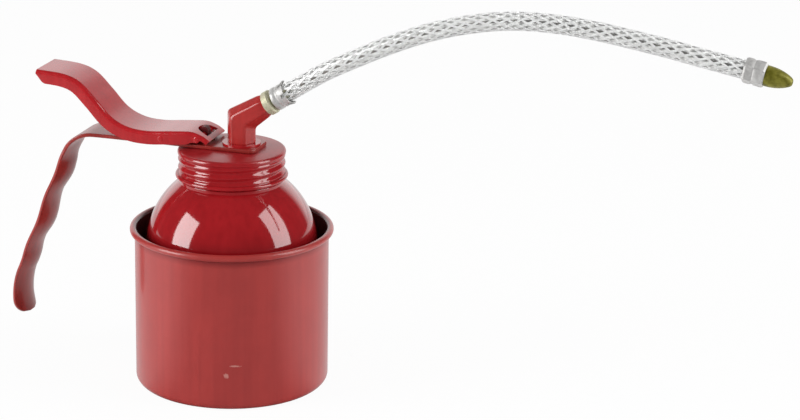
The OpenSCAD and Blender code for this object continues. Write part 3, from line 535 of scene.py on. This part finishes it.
def cut(piece, *punches):
    """Cuts convex punches out of a piece, each given by its corner points."""
    for points in punches:
        form = bmesh.new()
        for p in points:
            form.verts.new(Vector(p) * MM)
        bmesh.ops.convex_hull(form, input=form.verts)
        shape = bpy.data.meshes.new("punch")
        form.to_mesh(shape)
        form.free()
        punch = new_object("punch", shape)
        step = piece.modifiers.new("cut", "BOOLEAN")
        step.object, step.operation, step.solver = punch, "DIFFERENCE", "EXACT"
        settle(piece)
        bpy.data.objects.remove(punch)
        bpy.data.meshes.remove(shape)
    piece.data.set_sharp_from_angle(angle=math.radians(35))


def flat_faced(piece):
    """Keeps broad faces flat in the light beside their rounded edges."""
    piece.modifiers.new("flat", "WEIGHTED_NORMAL").keep_sharp = True
    settle(piece)


def hole(x, y, radius):
    """A round punch that goes down through cap and strap."""
    return [(x + radius * math.cos(math.pi * k / 20), y + radius * math.sin(math.pi * k / 20),
             DECK + z) for z in (-8, 8) for k in range(40)]


# Holes for the pump rod and the elbow's stem, and a small one that lets air into the can
ROD_X, ROD_HOLE_R, STEM_HOLE_R = -11.0, 3.7, 4.15
VENT_X, VENT_Y, VENT_R = -2, 13, 0.6
rod_hole, stem_hole = hole(ROD_X, 0, ROD_HOLE_R), hole(SPOUT_X, 0, STEM_HOLE_R)
cut(cap, rod_hole, stem_hole, hole(VENT_X, VENT_Y, VENT_R))
flat_faced(cap)
place_on("head", cap, "red_enamel", "screw_cap")


# Strap handle
# One strip of 1.5 mm steel: flat on the cap under lever and elbow, bent down behind the can, and
# crowned and waved for the fingers. Two ears bent up from its window hold the fulcrum pin.
STRAP_T, STRAP_HALF, EDGE_SOFT, BEND_R, CORNER_X = 1.5, 8.2, 0.45, 12.0, -63.92
GRIP_LEAN, GRIP_HALF, GRIP_STRAIGHT, HOOK_R = math.radians(21.5), 9.0, 60.0, 30.0
GRIP_STEP, GRIP_STEPS, BEND_STEPS = 0.75, 101, 12
WAVE_DEPTH, WAVE_LEN, WAVE_PEAK, EDGE_WAVE = 0.9, 22.5, 14.5, 0.35
CROWN_R, END_R, FRONT_ROUND = 15.0, 6.5, 2.0
bend_reach = BEND_R * math.tan((math.pi / 2 - GRIP_LEAN) / 2)
grip_skipped = bend_reach - 4.42
bend_middle = Vector((CORNER_X + bend_reach, 0, STRAP_T / 2 - BEND_R))
grip_down = Vector((-math.sin(GRIP_LEAN), 0, -math.cos(GRIP_LEAN)))
grip_in = Vector((math.cos(GRIP_LEAN), 0, -math.sin(GRIP_LEAN)))
grip_start = bend_middle - BEND_R * grip_in - grip_skipped * grip_down


def wave_at(s):
    """How far a finger wave pushes the grip in, a distance below the bend."""
    fade = max(0, min(1, (s - grip_skipped) / 6, (GRIP_STRAIGHT - s) / 8))
    return WAVE_DEPTH * fade * math.cos(2 * math.pi * (s - WAVE_PEAK) / WAVE_LEN)


def grip_at(s):
    """Middle line of the finger grip, a distance below the bend."""
    if s < GRIP_STRAIGHT:
        return grip_start + s * grip_down + wave_at(s) * grip_in
    a = (s - GRIP_STRAIGHT) / HOOK_R
    return (grip_start + GRIP_STRAIGHT * grip_down
            + HOOK_R * ((1 - math.cos(a)) * grip_in + math.sin(a) * grip_down))


strap_line = [Vector((x, 0, STRAP_T / 2))
              for x in (12, 11.4, 10.7, 10, 0, -10, -20, -30, -40, -48, -54)]
for i in range(BEND_STEPS + 1):
    a = math.radians(90 + (90 - math.degrees(GRIP_LEAN)) * i / BEND_STEPS)
    strap_line.append(bend_middle + BEND_R * Vector((math.cos(a), 0, math.sin(a))))
on_grip = len(strap_line)
grip_marks = [grip_skipped + GRIP_STEP * i for i in range(1, GRIP_STEPS + 1)]
strap_line += [grip_at(s) for s in grip_marks]


def strap_half(i):
    """Half the strap's width at a station of its line, rounded off at both ends."""
    x = strap_line[i].x
    half = STRAP_HALF + (GRIP_HALF - STRAP_HALF) * max(0, min(1, (-52.5 - x) / 7))
    from_tail = (len(strap_line) - 1 - i) * GRIP_STEP
    if from_tail < END_R:
        half -= END_R - math.sqrt(max(0, END_R ** 2 - (END_R - from_tail) ** 2))
    past_front = x - (strap_line[0].x - FRONT_ROUND)
    if past_front > 0:
        half -= FRONT_ROUND * (past_front / FRONT_ROUND) ** 1.5
    return half


def across(section, flat):
    """The section's points, with five more between the corners of each broad face."""
    points = []
    for i, here in enumerate(section):
        points.append(here)
        there = section[(i + 1) % len(section)]
        if abs(there[0] - here[0]) > flat:
            points += [(here[0] + (there[0] - here[0]) * k / 6,
                        here[1] + (there[1] - here[1]) * k / 6) for k in range(1, 6)]
    return points


def strap_ring(i):
    """Cross-section of the strap, with its edges rounded by the tumbling before the paint."""
    p = strap_line[i]
    along = direction(strap_line, i)
    face = Vector((along.z, 0, -along.x))
    half, thick = strap_half(i) - EDGE_SOFT, STRAP_T / 2 - EDGE_SOFT
    section = []
    for y, d in ((1, 1), (-1, 1), (-1, -1), (1, -1)):
        for k in range(4):
            a = math.radians(30 * k)
            round_y, round_d = math.cos(a), math.sin(a)
            if y * d < 0:
                round_y, round_d = round_d, round_y
            section.append((y * (half + EDGE_SOFT * round_y), d * (thick + EDGE_SOFT * round_d)))
    # The crown comes in over the bend's second half, and the waves are shallower at the edges
    crowned = max(0, min(1, (i - on_grip + 6) / 14))
    wave = wave_at(grip_marks[i - on_grip]) if i >= on_grip else 0
    middle = 0.62 * CROWN_R * (1 - math.cos(GRIP_HALF / CROWN_R)) * crowned
    ring = []
    for y, out in across(section, half):
        bend = y / CROWN_R * crowned
        sunk = CROWN_R * (1 - math.cos(bend)) / max(crowned, 0.01) if crowned else 0
        rise = out * math.cos(bend) + sunk - middle
        level = wave * (1 - EDGE_WAVE) * min(1, (y / GRIP_HALF) ** 2)
        ring.append(p + Vector((0, y * math.cos(bend / 2) - out * math.sin(bend), 0))
                    + rise * face - level * grip_in + Vector((0, 0, DECK)))
    return ring


def block(low, high):
    """The corners of a block between two points."""
    return [(x, y, z) for x in (low[0], high[0]) for y in (low[1], high[1])
            for z in (low[2], high[2])]


hand_red = enamel("handled_red_enamel", "#A02E28", "#8A2520", 0.3, 0.2, 0.03)[0]
strap = piece_from("strap_handle", [strap_ring(i) for i in range(len(strap_line))], hand_red)
FULCRUM_X, FULCRUM_UP = -26.0, 2.7
EAR_R, EAR_Y, EAR_T, EAR_FOOT = 1.6, 4.95, 1.5, 1.3
window_y = EAR_Y - EAR_T / 2
cut(strap, block((FULCRUM_X - EAR_R, -window_y, DECK - 1), (FULCRUM_X + EAR_R, window_y, DECK + 3)),
    rod_hole, stem_hole)
form = bmesh.new()
form.from_mesh(strap.data)
for y in (-EAR_Y, EAR_Y):
    pin_place = Vector((FULCRUM_X, y, DECK + FULCRUM_UP))
    bmesh.ops.create_cone(
        form, cap_ends=True, segments=32, radius1=EAR_R * MM, radius2=EAR_R * MM,
        depth=EAR_T * MM,
        matrix=Matrix.Translation(pin_place * MM) @ Matrix.Rotation(math.pi / 2, 4, "X"))
    foot = Matrix.Translation((pin_place - Vector((0, 0, EAR_FOOT / 2))) * MM)
    bmesh.ops.create_cube(
        form, size=MM, matrix=foot @ Matrix.Diagonal((2 * EAR_R, EAR_T, EAR_FOOT, 1)))
form.to_mesh(strap.data)
form.free()
strap.data.set_sharp_from_angle(angle=math.radians(35))
flat_faced(strap)
place_on("head", strap, "red_enamel", "handle_strap")


# Thumb lever
# One millimetre sheet folded into a channel over the strap: a broad web that the thumb presses,
# side flanges that hide the hinge, and a nose with a window for the pump rod's eye.
LEVER_T, LEVER_HALF, FLANGE_H, FOLD_R = 1.0, 9.7, 5.2, 1.5
# The flanges run out toward the nose, where the rod's eye comes up between them
FLANGE_CUT, FLANGE_END = ROD_X - 5, ROD_X + 1.4
lever_points = [Vector((x, 0, up)) for x, up in (
    (-78.2, 25.4), (-67, 24.6), (-60, 22), (-53.5, 15.9), (-47, 9.2), (-40, 5.9), (-32, 5.1),
    (-22, 6), (-14, 6.6), (-9.6, 5.5), (-7.2, 4.2), (-6.1, 3.3))]
lever_line = smooth_line(lever_points, steps=10)


def lever_ring(i):
    """Cross-section of the channel at a station: outer skin one way round and inner skin back."""
    p = lever_line[i]
    along = direction(lever_line, i)
    down = Vector((along.z, 0, -along.x))
    # The flanges' lower edge slopes off at the thumb end and twice toward the nose
    depth = FLANGE_H - 0.3 * max(0, p.x - FLANGE_CUT)
    if p.x < FLANGE_END:
        depth = min(depth, FOLD_R + 0.2 + 1.1 * (p.x - lever_points[0].x))
    else:
        depth = max(FOLD_R + 0.05, depth - 1.4 * (p.x - FLANGE_END))
    fold_y, small, quarter = LEVER_HALF - FOLD_R, FOLD_R - LEVER_T, range(0, 91, 15)
    skins = []
    for side in (1, -1):
        turns = [(math.sin(math.radians(d)), math.cos(math.radians(d))) for d in quarter]
        fold = [(side * (fold_y + FOLD_R * s), FOLD_R - FOLD_R * c) for s, c in turns]
        inside = [(side * (fold_y + small * s), FOLD_R - small * c) for s, c in turns]
        edge = [(side * (LEVER_HALF - 0.12), depth - 0.1), (side * (LEVER_HALF - 0.35), depth),
                (side * (LEVER_HALF - LEVER_T + 0.3), depth),
                (side * (LEVER_HALF - LEVER_T), depth - 0.2)]
        skins.append(fold + [(side * LEVER_HALF, (FOLD_R + depth) / 2)] + edge + inside[::-1])
    return [p + Vector((0, y, DECK)) + d * down for y, d in skins[0] + skins[1][::-1]]


lever_red = enamel("lever_red_enamel", "#B81F25", "#A8191F", 0.18, 0.5, 0.02)[0]
lever = piece_from("thumb_lever_sheet", [lever_ring(i) for i in range(len(lever_line))], lever_red)
WINDOW_R, WINDOW_FRONT = 5.6, ROD_X + 3.1
cut(lever, [(WINDOW_FRONT - WINDOW_R * math.sin(math.pi * k / 24),
             WINDOW_R * math.cos(math.pi * k / 24), DECK + up)
            for up in (0, 20) for k in range(25)])
flat_faced(lever)
place_on("lever", lever, "red_enamel", "thumb_lever")


def flush_pin(name, x, up, node):
    """A pin across the lever, peened flush with its flanges before the paint."""
    half = [(r, LEVER_HALF + out)
            for r, out in ((1.25, -0.05), (1.1, 0.03), (0.6, 0.06), (0.05, 0.07))]
    ends = [(r, -y) for r, y in half[::-1]] + half
    rings = [[(x + r * math.cos(math.pi * k / 16), y, DECK + up + r * math.sin(math.pi * k / 16))
              for k in range(32)] for r, y in ends]
    place_on("lever", piece_from(name, rings, lever_red), "red_enamel", node)


DRIVE_UP = 3.8
flush_pin("flush_fulcrum_pin", FULCRUM_X, FULCRUM_UP, "fulcrum_pin")
flush_pin("flush_drive_pin", ROD_X, DRIVE_UP, "drive_pin")


# Elbow
# Six-sided bar cut on the slant and brazed into a bend, then enamelled. It screws down on the
# strap over a washer and feeds the hose; its edges are broken before the paint.
elbow_red = enamel("elbow_red_enamel", "#B9302D", "#A82A28", 0.26, 0.4, 0.02)[0]
ACROSS_FLATS, MOUTH_FLATS, EDGE_R, SOFT_BEND = 10.4, 8.6, 1.9, 1.3
COLUMN_LOW, STEM_R, STEM_LOW = 2.3, 4.0, -5.2
BORE_R, SPRING_BORE_R, SPRING_SHELF = 1.2, 2.3, 2.0
FITTING_STEM_R, FITTING_STEM = 3.0, 6.0
up_z, back_y = Vector((0, 0, 1)), Vector((0, 1, 0))
arm_out = Vector((-arm.z, 0, arm.x))
# The slant of the joint, for a step of one to the outer side of the bend
slant = (Vector((-1, 0, 0)) + arm_out) / (1 + arm.z)
joint = Vector((SPOUT_X, 0, DECK + ELBOW_UP))
edge_middle = ACROSS_FLATS / math.sqrt(3) - EDGE_R / math.cos(math.pi / 6)
hexagon = []
for k in range(6):
    corner = math.radians(60 * k)
    for i in range(5):
        a = corner + math.radians(15 * (i - 2))
        hexagon.append((edge_middle * math.cos(corner) + EDGE_R * math.cos(a),
                        edge_middle * math.sin(corner) + EDGE_R * math.sin(a)))


def round_section(radius):
    """A circle with as many points as the six-sided section."""
    return [(radius * math.cos(a), radius * math.sin(a))
            for a in (math.atan2(v, u) for u, v in hexagon)]


def in_column(section, up, scale=1.0):
    """A ring of the upright column."""
    return [Vector((SPOUT_X - u * scale, v * scale, DECK + up)) for u, v in section]


def in_arm(section, from_mouth, scale=1.0):
    """A ring of the slanting arm."""
    return [mouth + from_mouth * arm + scale * (u * arm_out + v * back_y) for u, v in section]


def at_joint(section):
    """A ring in the slanting plane where column and arm meet."""
    return [joint + u * slant + v * back_y for u, v in section]


taper = MOUTH_FLATS / ACROSS_FLATS
corners, ends = at_joint(hexagon), in_arm(hexagon, -2, taper)
stem, bore, spring_bore, socket_wall = (
    round_section(r) for r in (STEM_R, BORE_R, SPRING_BORE_R, FITTING_STEM_R))
elbow_rings = [in_column(stem, STEM_LOW), in_column(stem, COLUMN_LOW),
               in_column(hexagon, COLUMN_LOW, 0.96), in_column(hexagon, COLUMN_LOW + 0.4)]
for t in (0, 0.2, 0.4, 0.6, 0.8, 1):
    elbow_rings.append([(1 - t) ** 2 * (c - SOFT_BEND * up_z) + 2 * t * (1 - t) * c
                        + t * t * (c + SOFT_BEND * (e - c).normalized())
                        for c, e in zip(corners, ends)])
elbow_rings += [ends, in_arm(hexagon, 0, taper * 0.88),
                in_arm(socket_wall, 0), in_arm(socket_wall, -FITTING_STEM),
                in_arm(bore, -FITTING_STEM), at_joint(bore), in_column(bore, SPRING_SHELF),
                in_column(spring_bore, SPRING_SHELF), in_column(spring_bore, STEM_LOW)]
elbow = piece_from("spout_elbow_bar", elbow_rings, elbow_red, closed=True, sharp=50)
flat_faced(elbow)
place_on("head", elbow, "red_enamel", "spout_elbow")


# Hose fitting, crimp and tip
# A pale brass barbed fitting turned on a lathe, and two thin aluminium sleeves crimped round the
# hose: the first bites with bent claws, the second is squeezed to six flats on the nozzle.
def metal(name, colour, dark, roughness, spread, scale, weight=1.0):
    """A bare metal with a brushed or tumbled skin; the scale is marks to the metre."""
    material, tree, place, output = blank_finish(name)
    marks = add(tree, "ShaderNodeTexNoise", {"Vector": place, "Scale": scale, "Detail": 4})
    tone = add(tree, "ShaderNodeValToRGB", {"Fac": marks.outputs["Fac"]})
    for stop, code, at in zip(tone.color_ramp.elements, (dark, colour), (0.35, 0.6)):
        stop.color, stop.position = linear(code), at
    rough = add(tree, "ShaderNodeMapRange", {
        "Value": marks.outputs["Fac"], "From Min": 0.3, "From Max": 0.7,
        "To Min": roughness - spread, "To Max": roughness + spread})
    bump = add(tree, "ShaderNodeBump",
               {"Height": marks.outputs["Fac"], "Strength": 0.15, "Distance": 0.0001})
    shader = add(tree, "ShaderNodeBsdfPrincipled", {
        "Base Color": tone.outputs[0], "Metallic": weight, "Roughness": rough.outputs[0],
        "Normal": bump.outputs[0]})
    tree.links.new(shader.outputs[0], output.inputs["Surface"])
    return material


def frame_at(origin, along):
    """Turns a point with Z along a piece's own axis into the object's frame."""
    side = Vector((0, 1, 0))
    other = side.cross(along)

    def turned(x, y, z):
        return origin + x * other + y * side + z * along
    return turned


SLEEVE_SIDES = 72


def sleeve(name, origin, along, profile, material, flats=0):
    """A turned piece on its own axis; flats squeeze the marked points to so many flat sides."""
    turned = frame_at(origin, along)
    rings = []
    for k in range(SLEEVE_SIDES):
        a = 2 * math.pi * k / SLEEVE_SIDES
        ring = []
        for r, z, pressed in profile:
            if flats and pressed:
                part = (a * flats / (2 * math.pi)) % 1 - 0.5
                r *= math.cos(math.pi / flats) / math.cos(2 * math.pi / flats * part)
            ring.append(turned(r * math.cos(a), r * math.sin(a), z))
        rings.append(ring)
    return piece_from(name, rings, material, closed=True, sharp=30)


# Tin, lacquer and oxide hide most of the shine of these metals
pale_brass = metal("pale_tinned_brass", "#D2CDB2", "#B9B998", 0.5, 0.05, 500, weight=0.3)
fitting_profile = [(1.3, 0, 0), (4.4, 0, 0), (4.8, 0.4, 0), (4.8, 2.6, 0), (4.2, 3.2, 0),
                   (2.6, 3.25, 0), (2.6, 4.75, 0), (2.35, 5, 0), (2.35, 9.4, 0), (1.3, 9.4, 0)]
fitting = sleeve("barbed_fitting", mouth, arm, fitting_profile, pale_brass)
place_on("head", fitting, "pale_brass", "hose_fitting")

crimped = metal("crimped_aluminium", "#DEDDDB", "#C6C5C3", 0.48, 0.06, 500, weight=0.4)
root_profile = [(2.6, 4.2, 0), (4.2, 4.2, 0), (4.5, 4.35, 0), (4.6, 4.7, 0), (4.6, 5.8, 0),
                (4.32, 6.2, 0), (4.3, 6.6, 0), (4.32, 7.0, 0), (4.6, 7.4, 0), (4.5, 8.2, 0),
                (4.6, 8.9, 0), (5.02, 10.35, 0), (4.95, 10.4, 0), (4.5, 10.4, 0),
                (3.65, 8.9, 0), (3.65, 4.8, 0), (2.6, 4.8, 0)]
root_sleeve = sleeve("root_crimp_sleeve", mouth, arm, root_profile, crimped)
# Three slots right across the sleeve part its edge into six claws
SLOT_HALF, SLOT_START = 0.75, 8.5
slot = block((-9, -SLOT_HALF, SLOT_START), (9, SLOT_HALF, SLOT_START + 3))
in_mouth = frame_at(mouth, arm)
for degrees in (30, 90, 150):
    c, s = math.cos(math.radians(degrees)), math.sin(math.radians(degrees))
    cut(root_sleeve, [in_mouth(x * c - y * s, x * s + y * c, z) for x, y, z in slot])
place_on("head", root_sleeve, "ferrule_aluminium", "root_ferrule")

tip_profile = [(3.65, 0, 0), (4.5, 0, 1), (4.97, 0.7, 1), (4.97, 2.6, 1), (4.6, 3.6, 1),
               (4.97, 4.6, 1), (4.97, 7.3, 1), (4.5, 8, 1), (3.8, 8, 0), (3.8, 6.6, 0),
               (3.65, 6.6, 0)]
tip_sleeve = sleeve("tip_crimp_sleeve", tip, nose, tip_profile, crimped, flats=6)
place_on("head", tip_sleeve, "ferrule_aluminium", "tip_ferrule")


# Nozzle
# Brass bullet turned on a lathe, held in the hose by its barbed tail under the second sleeve.
# Oil and handling have stained it olive, with rubbed yellow patches.
olive_brass = metal("oil_stained_brass", "#8F8A34", "#6A6616", 0.4, 0.06, 420, weight=0.3)
SHOULDER_R, BULLET_FALL, BULLET_START, BULLET_LONG, BULLET_STEPS = 3.9, 2.1, 8.3, 9.1, 20
nozzle_profile = [(0.8, 1, 0), (2.1, 1, 0), (2.4, 1.4, 0), (2.4, 6.6, 0), (3.75, 6.6, 0),
                  (3.8, 8, 0)]
for i in range(BULLET_STEPS + 1):
    t = i / BULLET_STEPS
    nozzle_profile.append((SHOULDER_R - BULLET_FALL * t * t * (0.6 + 0.4 * t),
                           BULLET_START + BULLET_LONG * t, 0))
nozzle_profile += [(1.3, 18, 0), (0.9, 18.2, 0), (0.8, 18.1, 0)]
nozzle = sleeve("bullet_nozzle", tip, nose, nozzle_profile, olive_brass)
place_on("head", nozzle, "olive_brass", "spout_nozzle")
hose_length = sum((b - a).length for a, b in zip(hose_line, hose_line[1:])) * MM


# Pump and small parts
# Zinc head, drawn steel barrel, brass piston and valves, wire springs and rubber seals. They sit
# inside cap and can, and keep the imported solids, each with the finish of its own metal.
steel = metal("zinc_plated_steel", "#C4C6C9", "#A5A8AC", 0.3, 0.06, 1200)
zinc = metal("die_cast_zinc", "#A4A6A8", "#8A8C8F", 0.5, 0.08, 1600)
brass = metal("turned_brass", "#CDB06A", "#A98A45", 0.28, 0.06, 1100)
dark_red = enamel("dark_rod_enamel", "#7A1519", "#5C0E12", 0.5, 0.0)[0]


def plain_skin(name, light, dark, roughness, scale):
    """A moulded plastic or rubber with a fine matt grain; the scale is grains to the metre."""
    material, tree, place, output = blank_finish(name)
    grain = add(tree, "ShaderNodeTexNoise", {"Vector": place, "Scale": scale, "Detail": 3})
    tone = add(tree, "ShaderNodeValToRGB", {"Fac": grain.outputs["Fac"]})
    tone.color_ramp.elements[0].color = linear(dark)
    tone.color_ramp.elements[1].color = linear(light)
    bump = add(tree, "ShaderNodeBump",
               {"Height": grain.outputs["Fac"], "Strength": 0.2, "Distance": 0.0001})
    shader = add(tree, "ShaderNodeBsdfPrincipled", {
        "Base Color": tone.outputs[0], "Roughness": roughness, "Normal": bump.outputs[0]})
    tree.links.new(shader.outputs[0], output.inputs["Surface"])
    return material


rubber = plain_skin("oil_proof_rubber", "#2E2E2E", "#1B1B1B", 0.7, 1500)
milky = plain_skin("milky_polythene", "#E4E4DA", "#CFCFC4", 0.4, 600)


def wire_spring(name, node, travel):
    """A coil spring as a smooth copy of its imported solid; the travel is not used."""
    form = bmesh.new()
    form.from_mesh(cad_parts[node].data)
    bmesh.ops.remove_doubles(form, verts=form.verts, dist=1e-6)
    spring = mesh_piece(name, form, steel)
    place_on("head", spring, "plated_steel", node)
    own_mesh(spring)


# How far the piston and the outlet ball push up the lower ends of their springs
PUMP_STROKE, OUTLET_LIFT = 3.136, 0.8
wire_spring("plunger_spring", "return_spring", PUMP_STROKE)
wire_spring("outlet_valve_spring", "outlet_spring", OUTLET_LIFT)
for material, nodes in (
        (lever_red, ["spout_washer"]), (dark_red, ["piston_rod"]), (zinc, ["pump_head"]),
        (steel, ["piston_ball", "foot_ball", "outlet_ball", "pump_cylinder", "passage_plug"]),
        (brass, ["piston", "gland_nut", "foot_valve", "strainer"]),
        (rubber, ["cap_gasket", "gland_packing", "piston_seal"]), (milky, ["suction_tube"])):
    for node in nodes:
        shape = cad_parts[node].data
        shape.materials.clear()
        shape.materials.append(material)


# Studio
# A white table, two tall soft boxes on either side of the camera, and a dim room behind it, which
# is what the polished dome mirrors between the two boxes.
def seen_directly(tree, mirrored):
    """What the camera sees straight on or through the hose counts 1, a mirror image less."""
    path = add(tree, "ShaderNodeLightPath").outputs
    both = add(tree, "ShaderNodeMath",
               {0: path["Is Camera Ray"], 1: path["Is Transmission Ray"]}, operation="MAXIMUM")
    share = add(tree, "ShaderNodeMath", {0: path["Is Glossy Ray"], 1: mirrored},
                operation="MULTIPLY")
    return add(tree, "ShaderNodeMath", {0: both.outputs[0], 1: share.outputs[0]},
               operation="MAXIMUM").outputs[0]


AWAY_FROM_CAMERA = (-0.34, 0.94, 0.0)
table_white, tree, place, output = blank_finish("white_table")
# Its paper has a faint mottle, about 5 mm across
paper = add(tree, "ShaderNodeTexNoise", {"Vector": place, "Scale": 200, "Detail": 2})
paper_tone = add(tree, "ShaderNodeValToRGB", {"Fac": paper.outputs["Fac"]})
paper_tone.color_ramp.elements[0].color = linear("#F6F6F6")
paper_tone.color_ramp.elements[1].color = linear("#FFFFFF")
matt = add(tree, "ShaderNodeBsdfDiffuse", {"Color": paper_tone.outputs[0]})
# Painted light: in the enamel the table glows bright on both sides and dark toward the camera,
# where it isn't lit
bearing = add(tree, "ShaderNodeVectorMath", {0: place}, operation="NORMALIZE")
facing = add(tree, "ShaderNodeVectorMath", {0: bearing.outputs[0], 1: AWAY_FROM_CAMERA},
             operation="DOT_PRODUCT")
painted_side_light = add(tree, "ShaderNodeMapRange", {
    "Value": facing.outputs["Value"], "From Min": -0.75, "From Max": -0.3,
    "To Min": 0.1, "To Max": 0.8})
white = add(tree, "ShaderNodeEmission",
            {"Color": (1, 1, 1, 1), "Strength": seen_directly(tree, painted_side_light.outputs[0])})
# The last twentieth is the table's own white, which keeps the can's shadow
amount = add(tree, "ShaderNodeMath", {0: seen_directly(tree, 1.0), 1: 0.95},
             operation="MULTIPLY")
lit = add(tree, "ShaderNodeMixShader",
          {0: amount.outputs[0], 1: matt.outputs[0], 2: white.outputs[0]})
tree.links.new(lit.outputs[0], output.inputs["Surface"])
form = bmesh.new()
bmesh.ops.create_grid(form, x_segments=1, y_segments=1, size=4)
table = mesh_piece("white_table", form, table_white)

world = bpy.data.worlds.new("studio_room")
bpy.context.scene.world = world
world.use_nodes = True
tree = world.node_tree
tree.nodes.clear()
toward = add(tree, "ShaderNodeTexCoord").outputs["Generated"]
facing = add(tree, "ShaderNodeVectorMath", {0: toward, 1: AWAY_FROM_CAMERA},
             operation="DOT_PRODUCT")
room = add(tree, "ShaderNodeMapRange", {
    "Value": facing.outputs["Value"], "From Min": 0.65, "From Max": 0.8,
    "To Min": 0.06, "To Max": 1.1})
path = add(tree, "ShaderNodeLightPath").outputs
mirrored = add(tree, "ShaderNodeMix", {0: path["Is Glossy Ray"], 2: 0.4, 3: room.outputs[0]})
direct = add(tree, "ShaderNodeMix", {0: path["Is Camera Ray"], 2: mirrored.outputs[0], 3: 1.0})
through = add(tree, "ShaderNodeMix",
              {0: path["Is Transmission Ray"], 2: direct.outputs[0], 3: 1.0})
glow = add(tree, "ShaderNodeBackground",
           {"Color": (1, 1, 1, 1), "Strength": through.outputs[0]})
tree.links.new(glow.outputs[0], add(tree, "ShaderNodeOutputWorld").inputs["Surface"])


BOX_WIDTH, BOX_AWAY = 0.58, 1.1


def soft_box(name, bearing, up, height, power):
    """A tall area lamp that faces the can from a bearing round it, in degrees."""
    lamp = bpy.data.lights.new(name, "AREA")
    lamp.shape, lamp.size, lamp.size_y, lamp.energy = "RECTANGLE", BOX_WIDTH, height, power
    box = new_object(name, lamp)
    a = math.radians(bearing)
    box.location = (BOX_AWAY * math.cos(a), BOX_AWAY * math.sin(a), up)
    toward_can = Vector((0, 0, 0.06)) - box.location
    box.rotation_euler = toward_can.to_track_quat("-Z", "Y").to_euler()


soft_box("left_soft_box", bearing=-142, up=0.42, height=0.86, power=10.0)
soft_box("right_soft_box", bearing=3.5, up=0.55, height=1.15, power=9.0)
